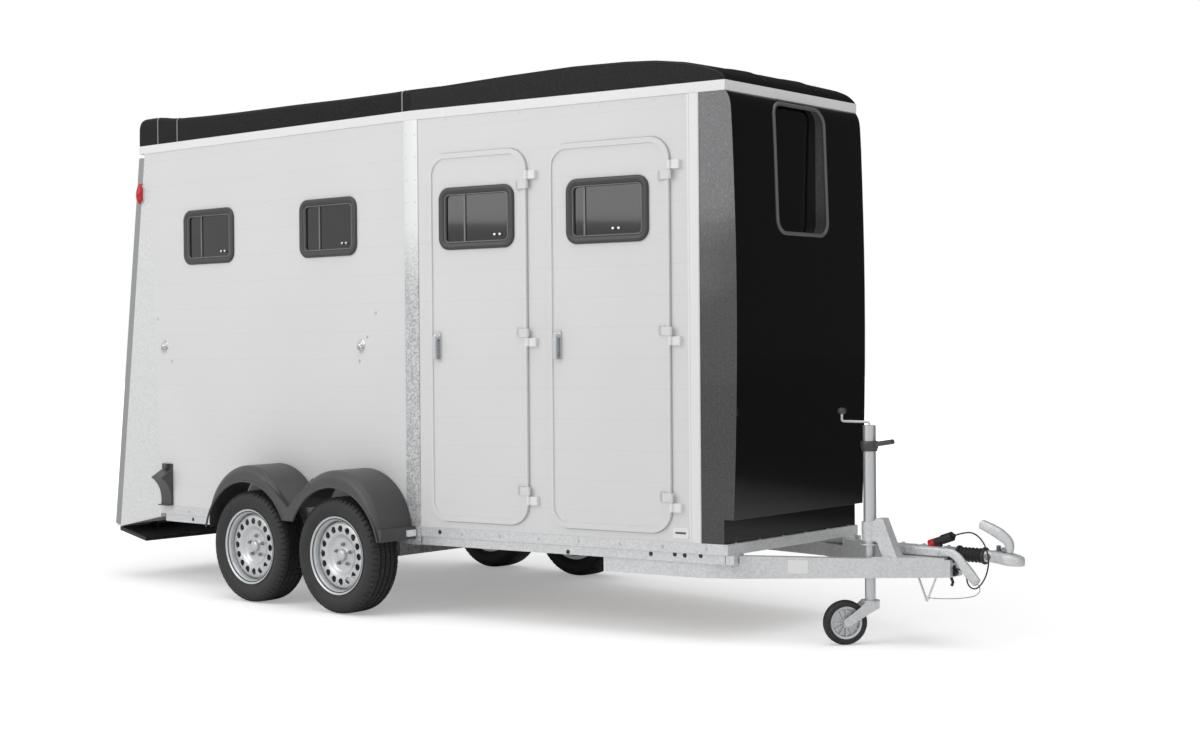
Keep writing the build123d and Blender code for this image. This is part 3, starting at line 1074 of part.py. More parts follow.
# Coupling head: a pressed shell over the ball socket
BALL_X = FRONT_X + HITCH_REACH - BALL_SETBACK
HEAD_TOP = COUPLING_MIDDLE + HEAD_HALF_HEIGHT
with BuildPart() as coupling_head:
    with BuildSketch(Plane.YZ.offset(FRONT_X + HEAD_REAR)):
        with Locations((0, COUPLING_MIDDLE)):
            RectangleRounded(HEAD_WIDTH, 2 * HEAD_HALF_HEIGHT, HEAD_HALF_HEIGHT / 2)
    extrude(amount=BALL_X - FRONT_X - HEAD_REAR)
    with BuildSketch(Plane.XY.offset(HEAD_FOOT)):
        with Locations((BALL_X, 0)):
            Circle(BALL_SETBACK - 14)
    extrude(amount=HEAD_TOP - HEAD_FOOT)
    with BuildSketch(Plane.XY.offset(COUPLING_MIDDLE - 20)):
        with Locations((BALL_X, 0)):
            Circle(BALL_SETBACK)
    extrude(amount=30)
    with BuildSketch(Plane.XY.offset(HEAD_FOOT)):
        with Locations((BALL_X, 0)):
            Circle(BALL_RADIUS)
    extrude(amount=SOCKET_TOP - HEAD_FOOT, mode=Mode.SUBTRACT)
save(coupling_head, "coupling_head")

# Locking handle of the coupling: a bent lever on top of the head
HANDLE_SIDE = ((1070.0, HEAD_TOP), (1150.0, HEAD_TOP), (1156.0, 482.0), (1022.0, 586.0),
               (1004.0, 568.0), (1112.0, 484.0), (1070.0, 474.0))
with BuildPart() as coupling_handle:
    with BuildSketch(Plane.XZ):
        with BuildLine():
            Polyline(*[(FRONT_X + ahead, z) for ahead, z in HANDLE_SIDE], close=True)
        make_face()
    extrude(amount=13, both=True)
save(coupling_handle, "coupling_handle")

# Handbrake lever on the housing's right side, in its released place
LEVER_SIDE = ((822.0, 456.0), (902.0, 454.0), (1024.0, 318.0), (1006.0, 302.0), (886.0, 430.0),
              (822.0, 430.0))
with BuildPart() as handbrake_lever:
    with BuildSketch(side_plane(-1, OVERRUN_WIDTH / 2)):
        with BuildLine():
            Polyline(*[(FRONT_X + ahead, z) for ahead, z in LEVER_SIDE], close=True)
        make_face()
    extrude(amount=14)
save(handbrake_lever, "handbrake_lever")

# Jockey stand: clamp on the drawbar's deck, outer tube, crank, inner tube, fork and wheel
JOCKEY_X = FRONT_X + JOCKEY_AHEAD
with BuildPart() as jockey_clamp:
    with BuildSketch(Plane.XY.offset(CLAMP_HEIGHTS[0])):
        with Locations((JOCKEY_X, JOCKEY_SIDE)):
            Circle(JOCKEY_TUBE + CLAMP_WALL)
    extrude(amount=CLAMP_HEIGHTS[1] - CLAMP_HEIGHTS[0])
    with BuildSketch(Plane.XZ.offset(-JOCKEY_SIDE)):
        with BuildLine():
            near = JOCKEY_X + CLAMP_REACH
            Polyline((near, CLAMP_HEIGHTS[0]), (near, CLAMP_HEIGHTS[1]), (near + 24, CLAMP_HEIGHTS[1] + 20),
                     (near + 56, CLAMP_HEIGHTS[1] + 20), (near + 132, DECK), (near + 54, DECK),
                     (near + 24, CLAMP_HEIGHTS[0]), close=True)
        make_face()
    extrude(amount=CLAMP_HALF, both=True)
    with BuildSketch(Plane.XY.offset(DECK)):
        with Locations((JOCKEY_X, JOCKEY_SIDE)):
            Circle(JOCKEY_TUBE)
    extrude(amount=CLAMP_HEIGHTS[1] - DECK + CLAMP_REACH, mode=Mode.SUBTRACT)
save(jockey_clamp, "jockey_clamp")

with BuildPart() as jockey_outer:
    with BuildSketch(Plane.XY.offset(JOCKEY_TUBE_BOTTOM)):
        with Locations((JOCKEY_X, JOCKEY_SIDE)):
            Circle(JOCKEY_TUBE)
            Circle(JOCKEY_INNER + PIN_GAP, mode=Mode.SUBTRACT)
    extrude(amount=JOCKEY_TUBE_TOP - JOCKEY_TUBE_BOTTOM)
    with BuildSketch(Plane.XY.offset(JOCKEY_TUBE_TOP - 12)):
        with Locations((JOCKEY_X, JOCKEY_SIDE)):
            Circle(JOCKEY_TUBE)
    extrude(amount=12)
    with BuildSketch(Plane.XY.offset(COLLAR_HEIGHTS[0])):
        with Locations((JOCKEY_X, JOCKEY_SIDE)):
            Circle(COLLAR_RADIUS)
            Circle(JOCKEY_TUBE - 1, mode=Mode.SUBTRACT)
    extrude(amount=COLLAR_HEIGHTS[1] - COLLAR_HEIGHTS[0])
save(jockey_outer, "jockey_outer_tube")

with BuildPart() as jockey_crank:
    with BuildSketch(Plane.XY.offset(JOCKEY_TUBE_TOP)):
        with Locations((JOCKEY_X, JOCKEY_SIDE)):
            Circle(9)
    extrude(amount=16)
    with BuildSketch(Plane.XY.offset(JOCKEY_TUBE_TOP + 4)):
        with Locations((JOCKEY_X - CRANK_THROW / 2, JOCKEY_SIDE)):
            SlotOverall(CRANK_BAR[0], CRANK_BAR[1])
    extrude(amount=CRANK_BAR[2])
save(jockey_crank, "jockey_crank")

# Round grip that stands up from the crank's end
with BuildPart() as jockey_grip:
    with BuildSketch(Plane.XY.offset(JOCKEY_TUBE_TOP + 16)):
        with Locations((JOCKEY_X - CRANK_THROW, JOCKEY_SIDE)):
            Circle(GRIP_RADIUS)
    extrude(amount=GRIP_LENGTH)
save(jockey_grip, "jockey_grip")

with BuildPart() as jockey_inner:
    with BuildSketch(Plane.XY.offset(JOCKEY_CROWN)):
        with Locations((JOCKEY_X, JOCKEY_SIDE)):
            Circle(JOCKEY_INNER)
    extrude(amount=JOCKEY_INNER_TOP - JOCKEY_CROWN)
    with BuildSketch(Plane.XY.offset(JOCKEY_CROWN)):
        with Locations((JOCKEY_X, JOCKEY_SIDE)):
            Circle(JOCKEY_PIVOT)
    extrude(amount=-20)
save(jockey_inner, "jockey_inner_tube")

# The fork trails its wheel in a turned plane: x along the trail, z along the wheel's axle
TRAIL_DIR = (-cos(JOCKEY_SWIVEL), -sin(JOCKEY_SWIVEL), 0)
AXLE_DIR = (sin(JOCKEY_SWIVEL), -cos(JOCKEY_SWIVEL), 0)


def fork_plane(offset):
    """Plane across the wheel's axle, this far from the wheel's middle."""
    return Plane(origin=(JOCKEY_X + offset * AXLE_DIR[0], JOCKEY_SIDE + offset * AXLE_DIR[1], 0),
                 x_dir=TRAIL_DIR, z_dir=AXLE_DIR)


CHEEK = JOCKEY_WHEEL_WIDTH / 2 + RUNNING_GAP
with BuildPart() as jockey_fork:
    up = 1 if fork_plane(0).y_dir.Z > 0 else -1
    for start in (-CHEEK - CHEEK_THICKNESS, CHEEK):
        with BuildSketch(fork_plane(start)):
            with BuildLine():
                Polyline((-32, up * JOCKEY_CROWN), (30, up * JOCKEY_CROWN), (60, up * 178),
                         (JOCKEY_TRAIL + 18, up * (JOCKEY_WHEEL_RADIUS + 12)),
                         (JOCKEY_TRAIL + 14, up * (JOCKEY_WHEEL_RADIUS - 14)),
                         (JOCKEY_TRAIL - 12, up * (JOCKEY_WHEEL_RADIUS - 14)),
                         (12, up * 150), (-32, up * 172), close=True)
            make_face()
        extrude(amount=CHEEK_THICKNESS)
    with BuildSketch(Plane.XY.offset(JOCKEY_CROWN - JOCKEY_CROWN_THICKNESS)):
        with Locations((JOCKEY_X, JOCKEY_SIDE)):
            Circle(JOCKEY_CROWN_RADIUS)
            Circle(JOCKEY_PIVOT + PIN_GAP, mode=Mode.SUBTRACT)
    extrude(amount=JOCKEY_CROWN_THICKNESS - 0.3)
    with BuildSketch(fork_plane(-CHEEK - CHEEK_THICKNESS)):
        with Locations((JOCKEY_TRAIL, up * JOCKEY_WHEEL_RADIUS)):
            Circle(JOCKEY_AXLE)
    extrude(amount=2 * (CHEEK + CHEEK_THICKNESS))
save(jockey_fork, "jockey_fork")

with BuildPart() as jockey_rim:
    with BuildSketch(fork_plane(-JOCKEY_WHEEL_WIDTH / 2)):
        with Locations((JOCKEY_TRAIL, up * JOCKEY_WHEEL_RADIUS)):
            Circle(JOCKEY_RIM_RADIUS)
            Circle(JOCKEY_AXLE + PIN_GAP, mode=Mode.SUBTRACT)
    extrude(amount=JOCKEY_WHEEL_WIDTH)
save(jockey_rim, "jockey_wheel")
with BuildPart() as jockey_tyre:
    with BuildSketch(fork_plane(-JOCKEY_WHEEL_WIDTH / 2)):
        with Locations((JOCKEY_TRAIL, up * JOCKEY_WHEEL_RADIUS)):
            Circle(JOCKEY_WHEEL_RADIUS)
            Circle(JOCKEY_RIM_RADIUS, mode=Mode.SUBTRACT)
    extrude(amount=JOCKEY_WHEEL_WIDTH)
save(jockey_tyre, "jockey_tyre")

# Plug of the lighting cable, parked on the housing, with its gland pointing ahead
with BuildPart() as power_plug:
    along = (cos(PLUG_LEAN), 0, sin(PLUG_LEAN))
    done = 0
    for radius, length in PLUG_STEPS:
        origin = (FRONT_X + PLUG_TAIL[0] + done * along[0], 0, PLUG_TAIL[1] + done * along[2])
        with BuildSketch(Plane(origin=origin, z_dir=along)):
            Circle(radius)
        extrude(amount=length)
        done += length
    with BuildSketch(Plane.XY.offset(OVERRUN_TOP)):
        with Locations((FRONT_X + PLUG_TAIL[0] + PLUG_FOOT[0] / 2, 0)):
            Rectangle(PLUG_FOOT[0], PLUG_FOOT[1])
    extrude(amount=PLUG_FOOT[2])
save(power_plug, "power_plug")


def save_cord(route, diameter, name):
    """Round cord along straight runs joined by tangent arcs, whose radii are printed."""
    places = [Vector(FRONT_X + ahead, y, z) for ahead, y, z in route]
    runs = [far - near for near, far in zip(places, places[1:])]
    radii = [RUN_SHARE * min(a.length, b.length) / tan(radians(a.get_angle(b) / 2))
             for a, b in zip(runs, runs[1:])]
    with BuildPart() as cord:
        with BuildLine() as centre_line:
            FilletPolyline(*places, radius=radii)
        with BuildSketch(Plane(origin=places[0], z_dir=runs[0])):
            Circle(diameter / 2)
        sweep()
    length = sum(edge.length for edge in centre_line.line.edges())
    print(name, "length", round(length), "radii", [round(radius) for radius in radii],
          "volume", round(cord.part.volume), "of", round(length * pi * diameter ** 2 / 4))
    save(cord, name)


# Lighting cable, looped over and under the coupling and back into the drawbar's tip
save_cord(POWER_ROUTE, POWER_CABLE, "power_cable")

# Breakaway cable, from the end of the handbrake lever to the clip on the hook
save_cord(BREAKAWAY_ROUTE, BREAKAWAY_CABLE, "breakaway_cable")

# Inside: a bulkhead behind the posts, and a stall partition hung between two posts
with BuildPart() as bulkhead:
    with BuildSketch(Plane.YZ.offset(back(BULKHEAD_PLACE))):
        with Locations((0, (INNER_FOOT + RAIL_BOTTOM) / 2)):
            Rectangle(2 * (HALF_WIDTH - WALL), RAIL_BOTTOM - INNER_FOOT)
    extrude(amount=BULKHEAD_THICKNESS)
save(bulkhead, "bulkhead")

with BuildPart() as partition:
    with BuildSketch(Plane.XZ):
        with Locations((back(sum(PARTITION_POSTS) / 2), (PARTITION_BOTTOM + PARTITION_TOP) / 2)):
            Rectangle(PARTITION_POSTS[1] - PARTITION_POSTS[0], PARTITION_TOP - PARTITION_BOTTOM)
    extrude(amount=PARTITION_THICKNESS / 2, both=True)
    with BuildSketch(Plane.XZ):
        with Locations(*[(back(post), (INNER_FOOT + RAIL_BOTTOM) / 2) for post in PARTITION_POSTS]):
            Rectangle(PARTITION_POST_WIDTH, RAIL_BOTTOM - INNER_FOOT)
    extrude(amount=PARTITION_POST_WIDTH / 2, both=True)
save(partition, "partition")
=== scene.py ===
# %% [markdown]
# ## A horse trailer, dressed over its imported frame
# The frame is the measured model of the trailer, in metres, with +X towards the hitch and +Y to its left.
# Everything below is a finish for a frame piece, or a new piece that sits on one or stands in for one.

# %% Start with the frame
import json
from math import atan2, cos, hypot, pi, radians, sin

import bmesh
import bpy
import numpy as np
from mathutils import Matrix, Vector

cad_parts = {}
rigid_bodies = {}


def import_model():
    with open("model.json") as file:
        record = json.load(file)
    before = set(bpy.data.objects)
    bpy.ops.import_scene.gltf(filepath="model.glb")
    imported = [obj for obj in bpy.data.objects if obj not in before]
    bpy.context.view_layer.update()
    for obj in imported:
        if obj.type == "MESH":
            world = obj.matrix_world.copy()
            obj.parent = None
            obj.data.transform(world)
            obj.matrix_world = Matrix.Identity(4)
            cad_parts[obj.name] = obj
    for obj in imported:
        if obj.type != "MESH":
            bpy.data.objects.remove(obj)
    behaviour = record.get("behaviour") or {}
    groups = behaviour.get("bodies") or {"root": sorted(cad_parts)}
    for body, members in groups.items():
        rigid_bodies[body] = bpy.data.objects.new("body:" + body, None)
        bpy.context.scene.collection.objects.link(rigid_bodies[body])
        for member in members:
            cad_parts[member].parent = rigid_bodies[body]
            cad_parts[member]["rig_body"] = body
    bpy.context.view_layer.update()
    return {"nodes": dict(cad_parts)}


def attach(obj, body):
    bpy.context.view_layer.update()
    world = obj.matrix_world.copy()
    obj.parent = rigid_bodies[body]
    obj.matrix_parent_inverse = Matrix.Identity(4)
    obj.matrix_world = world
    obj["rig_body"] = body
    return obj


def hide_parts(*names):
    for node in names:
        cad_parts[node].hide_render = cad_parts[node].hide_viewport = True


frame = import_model()
nodes = frame["nodes"]
body_of = {name: obj["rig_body"] for name, obj in nodes.items()}

# %% [markdown]
# ## Measures of the body
# The same few numbers place every rivet, seam and trim. The side walls run straight behind the bend
# and turn inwards ahead of it, so a place is given by how far it lies behind the front, how high it is
# and how far it stands out. Lengths are millimetres here and become metres in one function.

# %% Places on the body
MM = 0.001
FRONT_X = 1666.0
HALF_WIDTH, FRONT_HALF_WIDTH, BEND = 820.0, 578.0, 1855.0
TAPER = atan2(HALF_WIDTH - FRONT_HALF_WIDTH, BEND)
FRONT_WALL = hypot(BEND, HALF_WIDTH - FRONT_HALF_WIDTH)
RAIL_TOP = 2654.0
WHEEL_X = (-540.0, -1260.0)
WHEEL_Y, WHEEL_Z = 970.0, 310.0
WHEELS = (("front_right", WHEEL_X[0], -1), ("rear_right", WHEEL_X[1], -1),
          ("front_left", WHEEL_X[0], 1), ("rear_left", WHEEL_X[1], 1))
FACING_UP, FACING_RIGHT = ((1, 0, 0), (0, 1, 0)), ((1, 0, 0), (0, 0, 1))
FACING_AHEAD, FACING_BACK = ((0, 1, 0), (0, 0, 1)), ((0, -1, 0), (0, 0, 1))


def half_width(behind):
    """Half width of the body: level behind the bend, then falling in a straight line to the front."""
    return np.where(behind >= BEND, HALF_WIDTH, HALF_WIDTH - (BEND - behind) * np.tan(TAPER))


class Place:
    """A flat place with a middle and three directions: along, up and out."""

    def __init__(self, middle, along, up):
        self.middle = np.array(middle, float)
        self.along = np.array(along, float) / np.linalg.norm(along)
        self.up = np.array(up, float) / np.linalg.norm(up)
        self.out = np.cross(self.along, self.up)

    def points(self, a, u, o):
        """Point = middle + a along + u up + o out, for whole arrays, in metres at the end."""
        a, u, o = np.broadcast_arrays(a, u, o)
        local = a[..., None] * self.along + u[..., None] * self.up + o[..., None] * self.out
        return (self.middle + local) * MM


def rear_wall(side, behind, z, out=0.0):
    """A place on the straight side wall."""
    return Place((FRONT_X - behind, side * (HALF_WIDTH + out), z), (-side, 0, 0), (0, 0, 1))


def front_wall(side, behind, z, out=0.0):
    """A place on the tapered side wall, this far behind the front corner along the wall."""
    along = np.array((cos(TAPER), -side * sin(TAPER), 0))
    outward = np.array((sin(TAPER), side * cos(TAPER), 0))
    corner = np.array((FRONT_X, side * FRONT_HALF_WIDTH, z))
    return Place(corner - behind * along + out * outward, -side * along, (0, 0, 1))


def spot(ahead, y, z, facing=FACING_UP):
    """A place this far ahead of the body's front, facing up unless told otherwise."""
    return Place((FRONT_X + ahead, y, z), *facing)


def wheel_place(x, side):
    """The middle of a road wheel, facing outwards."""
    return Place((x, side * WHEEL_Y, WHEEL_Z), (-side, 0, 0), (0, 0, 1))


print("taper of the front walls:", round(TAPER * 180 / pi, 2), "degrees")

# %% [markdown]
# ## From arrays to pieces
# A shape is worked out as a grid of points, and a grid needs only a rule for which four points share a
# face. Several grids can be one piece. Doubled points are merged and faces turned outwards before the
# piece is handed to the body that carries it.

# %% Grids, lathes and slabs


def grid_faces(rows, columns, wrap_rows=False, wrap_columns=False):
    """Quad (i, j) joins the points (i, j), (i + 1, j), (i + 1, j + 1) and (i, j + 1)."""
    i, j = np.meshgrid(np.arange(rows if wrap_rows else rows - 1),
                       np.arange(columns if wrap_columns else columns - 1), indexing="ij")
    i, j = i.ravel(), j.ravel()
    below, beside = (i + 1) % rows, (j + 1) % columns
    return np.stack([i * columns + j, below * columns + j, below * columns + beside,
                     i * columns + beside], axis=1).tolist()


def surface(points, wrap_rows=False, wrap_columns=False):
    """A grid of points as one part of a piece."""
    rows, columns = points.shape[:2]
    return points.reshape(-1, 3), grid_faces(rows, columns, wrap_rows, wrap_columns)


def capped(points):
    """Rings of points, each closed round, with a flat face over the first and the last."""
    rows, columns = points.shape[:2]
    verts, faces = surface(points, wrap_columns=True)
    last = rows * columns
    return verts, faces + [list(range(columns)), list(range(last - columns, last))]


def angles(steps):
    """Even steps once round a circle."""
    return np.linspace(0, 2 * pi, steps, endpoint=False)


def lathe(place, profile, steps=24, closed=False):
    """Point = (r cos t, r sin t) across and h out, for every profile pair (r, h) and angle t."""
    r, h = np.array(profile, float).T
    t = angles(steps)
    return surface(place.points(np.outer(np.cos(t), r), np.outer(np.sin(t), r), np.tile(h, (steps, 1))),
                   wrap_rows=True, wrap_columns=closed)


def slab(place, outline, depth, edge=1.5):
    """Outline drawn out by a depth, with its front edge broken by a small chamfer."""
    flat = np.array(outline, float)
    middle = flat.mean(axis=0)
    reach = np.linalg.norm(flat - middle, axis=1, keepdims=True)
    inner = middle + (flat - middle) * (1 - edge / reach)
    rings = [place.points(ring[:, 0], ring[:, 1], out)
             for ring, out in ((flat, 0.0), (flat, depth - edge), (inner, depth))]
    return capped(np.array(rings))


def rounded(width, height, corner, steps=6):
    """Rounded rectangle: four quarter circles about the corners' middles, joined by straight sides."""
    t = np.linspace(0, pi / 2, steps)
    quarters = []
    for turn, (sx, sy) in enumerate(((1, 1), (-1, 1), (-1, -1), (1, -1))):
        middle = np.array((sx * (width / 2 - corner), sy * (height / 2 - corner)))
        angle = t + turn * pi / 2
        quarters.append(middle + corner * np.stack([np.cos(angle), np.sin(angle)], axis=1))
    return np.concatenate(quarters)


def tube(path, radius, steps=10, closed=False):
    """Circle of a radius carried along a path, square to it; one spare direction sets its start."""
    path = np.array(path, float)
    ahead = np.roll(path, -1, 0) - np.roll(path, 1, 0)
    if not closed:
        ahead[0], ahead[-1] = path[1] - path[0], path[-1] - path[-2]
    ahead /= np.linalg.norm(ahead, axis=1, keepdims=True)
    spare = np.array((0.0, 0.0, 1.0)) if abs(ahead[:, 2]).max() < 0.9 else np.array((0.31, 0.95, 0.05))
    across = np.cross(ahead, spare)
    across /= np.linalg.norm(across, axis=1, keepdims=True)
    over = np.cross(across, ahead)
    t = angles(steps)[None, :, None]
    grid = (path[:, None] + radius * (np.cos(t) * across[:, None] + np.sin(t) * over[:, None])) * MM
    return surface(grid, wrap_rows=True, wrap_columns=True) if closed else capped(grid)


def link(obj):
    """Put an object into the scene."""
    bpy.context.scene.collection.objects.link(obj)
    return obj


def make_piece(name, parts, node_name, slot, material, smooth=40):
    """One object from several parts, merged, facing outwards, riding on a frame piece's body."""
    verts, faces, offset = [], [], 0
    for points, part_faces in parts:
        verts.append(points)
        faces += [[offset + i for i in face] for face in part_faces]
        offset += len(points)
    mesh = bpy.data.meshes.new(name)
    mesh.from_pydata(np.concatenate(verts).tolist(), [], faces)
    shaped = bmesh.new()
    shaped.from_mesh(mesh)
    bmesh.ops.remove_doubles(shaped, verts=shaped.verts, dist=1e-5)
    bmesh.ops.recalc_face_normals(shaped, faces=shaped.faces)
    for edge in shaped.edges:
        edge.smooth = len(edge.link_faces) == 2 and edge.calc_face_angle(0) < radians(smooth)
    for face in shaped.faces:
        face.smooth = True
    shaped.to_mesh(mesh)
    shaped.free()
    piece = link(bpy.data.objects.new(name, mesh))
    mesh.materials.append(material)
    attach(piece, body_of[node_name])
    return piece


def studs(places, profile, steps=8):
    """The same small lathe shape at many places."""
    return [lathe(place, profile, steps) for place in places]


def thicken(piece, name, metres):
    """Give a skin its thickness, inwards."""
    skin = piece.modifiers.new(name, "SOLIDIFY")
    skin.thickness, skin.offset = metres, -1


def squared_circle(count, power):
    """Cosine and sine with their size raised to a power, which squares the circle off."""
    t = angles(count)
    return [np.sign(wave) * np.abs(wave) ** power for wave in (np.cos(t), np.sin(t))]


# %% [markdown]
# ## Finishes
# Each finish starts from what the real surface is made of. Colours are given as sRGB hex, the way a
# colour picker shows them, and turned to the linear values that the shader works in.

# %% Colour and node helpers


def linear(hex_colour):
    """sRGB to linear: c / 12.92 below 0.04045, else ((c + 0.055) / 1.055) to the power 2.4."""
    c = np.array([int(hex_colour[i:i + 2], 16) / 255 for i in (1, 3, 5)])
    return (*np.where(c <= 0.04045, c / 12.92, ((c + 0.055) / 1.055) ** 2.4), 1.0)


def node(tree, kind, values=(), **settings):
    """Add one node: settings are its properties, values go to its inputs as numbers or links."""
    made = tree.nodes.new(kind)
    for key, value in settings.items():
        setattr(made, key, value)
    for socket, value in dict(values).items():
        if isinstance(value, bpy.types.NodeSocket):
            tree.links.new(value, made.inputs[socket])
        else:
            made.inputs[socket].default_value = value
    return made


def material(name, colour, roughness, metallic=0.0, **sockets):
    """A Principled material with its constants on the shader's own sockets."""
    made = bpy.data.materials.new(name)
    made.use_nodes = True
    shader = made.node_tree.nodes["Principled BSDF"]
    for socket, value in {"Base Color": linear(colour), "Roughness": roughness, "Metallic": metallic,
                          **sockets}.items():
        shader.inputs[socket].default_value = value
    made.diffuse_color = linear(colour)
    return made, made.node_tree, shader


def place_node(tree):
    """The piece's own Object coordinates, in metres."""
    return node(tree, "ShaderNodeTexCoord").outputs["Object"]


def ramp(tree, value, stops):
    """A colour ramp with the given stops."""
    made = node(tree, "ShaderNodeValToRGB", {"Fac": value})
    while len(made.color_ramp.elements) < len(stops):
        made.color_ramp.elements.new(0.5)
    for element, (position, colour) in zip(made.color_ramp.elements, stops):
        element.position = position
        element.color = linear(colour)
    return made.outputs["Color"]


def bump(tree, shader, height, strength, distance):
    """Small relief under the light, from a height pattern."""
    made = node(tree, "ShaderNodeBump", {"Height": height, "Strength": strength, "Distance": distance})
    tree.links.new(made.outputs["Normal"], shader.inputs["Normal"])
    return made


def noise(tree, scale, detail, vector=None):
    """Soft noise over the piece's own coordinates, or over another vector."""
    return node(tree, "ShaderNodeTexNoise", {"Vector": place_node(tree) if vector is None else vector,
                                             "Scale": scale, "Detail": detail}).outputs["Fac"]


def maths(tree, operation, *values):
    """One step of arithmetic on numbers or links."""
    return node(tree, "ShaderNodeMath", dict(enumerate(values)), operation=operation).outputs[0]


def span(tree, value, low, high, start=0.0, end=1.0):
    """Carry a value from low and high over to start and end, and hold it there."""
    return node(tree, "ShaderNodeMapRange", {"Value": value, "From Min": low, "From Max": high,
                                             "To Min": start, "To Max": end}).outputs[0]


def coordinate(tree, vector, axis):
    """One number of a vector: 0, 1 or 2 for x, y or z."""
    return node(tree, "ShaderNodeSeparateXYZ", {"Vector": vector}).outputs[axis]


def blend(tree, share, first, second):
    """Two colours mixed by a share."""
    return node(tree, "ShaderNodeMix", {0: share, 6: first, 7: second}, data_type="RGBA").outputs[2]


# %% [markdown]
# ### Anodised aluminium planks
# The walls, doors and ramp are extruded planks, clicked together and anodised. The eye sees a pale,
# slightly silky sheet with fine level grooves. The grooves are a function of height alone: the part of
# z over the groove spacing that is left after whole grooves, so they line up on every panel.

# %% Plank finish
GROOVE_SPACING = 150.0 * MM


def plank_material(name, colour, shade, pale):
    """Fine grooves at even heights, over a soft and faint change of tone."""
    made, tree, shader = material(name, colour, 0.42, 0.0, **{"Specular IOR Level": 0.55})
    rows = maths(tree, "DIVIDE", coordinate(tree, place_node(tree), 2), GROOVE_SPACING)
    reach = maths(tree, "ABSOLUTE", maths(tree, "SUBTRACT", maths(tree, "FRACT", rows), 0.5))
    groove = span(tree, reach, 0.485, 0.5, 1.0, 0.0)
    tone = maths(tree, "MULTIPLY", noise(tree, 1.6, 2.0), 0.35)
    colours = ramp(tree, maths(tree, "SUBTRACT", groove, tone),
                   ((0.0, shade), (0.55, colour), (0.8, colour), (1.0, pale)))
    tree.links.new(colours, shader.inputs["Base Color"])
    bump(tree, shader, groove, 0.15, 0.0004)
    return made


aluminium = plank_material("anodised_aluminium_plank", "#DFDFDF", "#D8D8D8", "#E3E3E3")
white_gelcoat = material("white_powder_coated_profile", "#EDEDED", 0.32)[0]

# %% [markdown]
# ### Hot-dip galvanised steel
# Zinc freezes on the steel in flat crystals, the spangle. A Voronoi pattern has the same straight-sided
# cells, each with its own tone, and the cells are about 9 mm across.

# %% Zinc
SPANGLE = 9.0 * MM


def spangle(tree, dark, pale):
    """Voronoi cells as crystals: a colour for each, and one more number to use as its gloss."""
    cells = node(tree, "ShaderNodeTexVoronoi", {"Vector": place_node(tree), "Scale": 1 / SPANGLE})
    tone = node(tree, "ShaderNodeSeparateColor", {"Color": cells.outputs["Color"]})
    return ramp(tree, tone.outputs[0], ((0.0, dark), (1.0, pale))), tone.outputs[1]


def zinc_material(name, dark, pale, roughness, metallic):
    """Each crystal has its own tone and gloss."""
    made, tree, shader = material(name, pale, roughness, metallic)
    colour, gloss = spangle(tree, dark, pale)
    tree.links.new(colour, shader.inputs["Base Color"])
    tree.links.new(span(tree, gloss, 0.0, 1.0, roughness - 0.08, roughness + 0.1), shader.inputs["Roughness"])
    return made


def post_zinc_painted_reflection():
    """Spangled low down, blended on z into near white above: a painted reflection of the sky."""
    made, tree, shader = material("galvanised_post_painted_reflection", "#E4E5E5", 0.4, 0.25)
    # Painted reflection: the post turns near white between 1.7 m and 2.05 m up.
    share = span(tree, coordinate(tree, place_node(tree), 2), 1.7, 2.05)
    colour = blend(tree, share, spangle(tree, "#A3A5A7", "#D9DADB")[0], linear("#E4E5E5"))
    tree.links.new(colour, shader.inputs["Base Color"])
    return made


zinc = zinc_material("galvanised_steel", "#CDCFD0", "#DEE0E1", 0.4, 0.3)
zinc_dark = zinc_material("weathered_galvanised_steel", "#77797B", "#9A9C9E", 0.5, 0.5)
zinc_sheet = zinc_material("galvanised_sheet", "#D9DADB", "#E6E7E7", 0.38, 0.2)
zinc_post_painted_reflection = post_zinc_painted_reflection()
zinc_tube = material("drawn_galvanised_tube", "#CFD1D3", 0.3, 0.65)[0]

# %% [markdown]
# ### Gelcoat with flakes
# The nose and roof are glass-fibre mouldings. Their outer skin is a black gelcoat with fine metal
# flakes under a clear gloss. Flakes are drawn as coarse noise, 3 mm across, because real ones are too
# fine to show. On the nose light is painted in: faces that look ahead are plain gloss black as painted
# shade, and the sides are painted paler with height as a painted sheen.

# %% Gelcoat


def flake_noise(tree, base, flake):
    """Pale flakes where fine noise is high."""
    return ramp(tree, noise(tree, 330.0, 1.0), ((0.50, base), (0.72, flake)))


def gelcoat_material(name, base, flake):
    """Dark base with flakes under a clear coat."""
    made, tree, shader = material(name, base, 0.5, 0.0, **{"Coat Weight": 0.08, "Coat Roughness": 0.1,
                                                           "Specular IOR Level": 0.12})
    tree.links.new(flake_noise(tree, base, flake), shader.inputs["Base Color"])
    return made


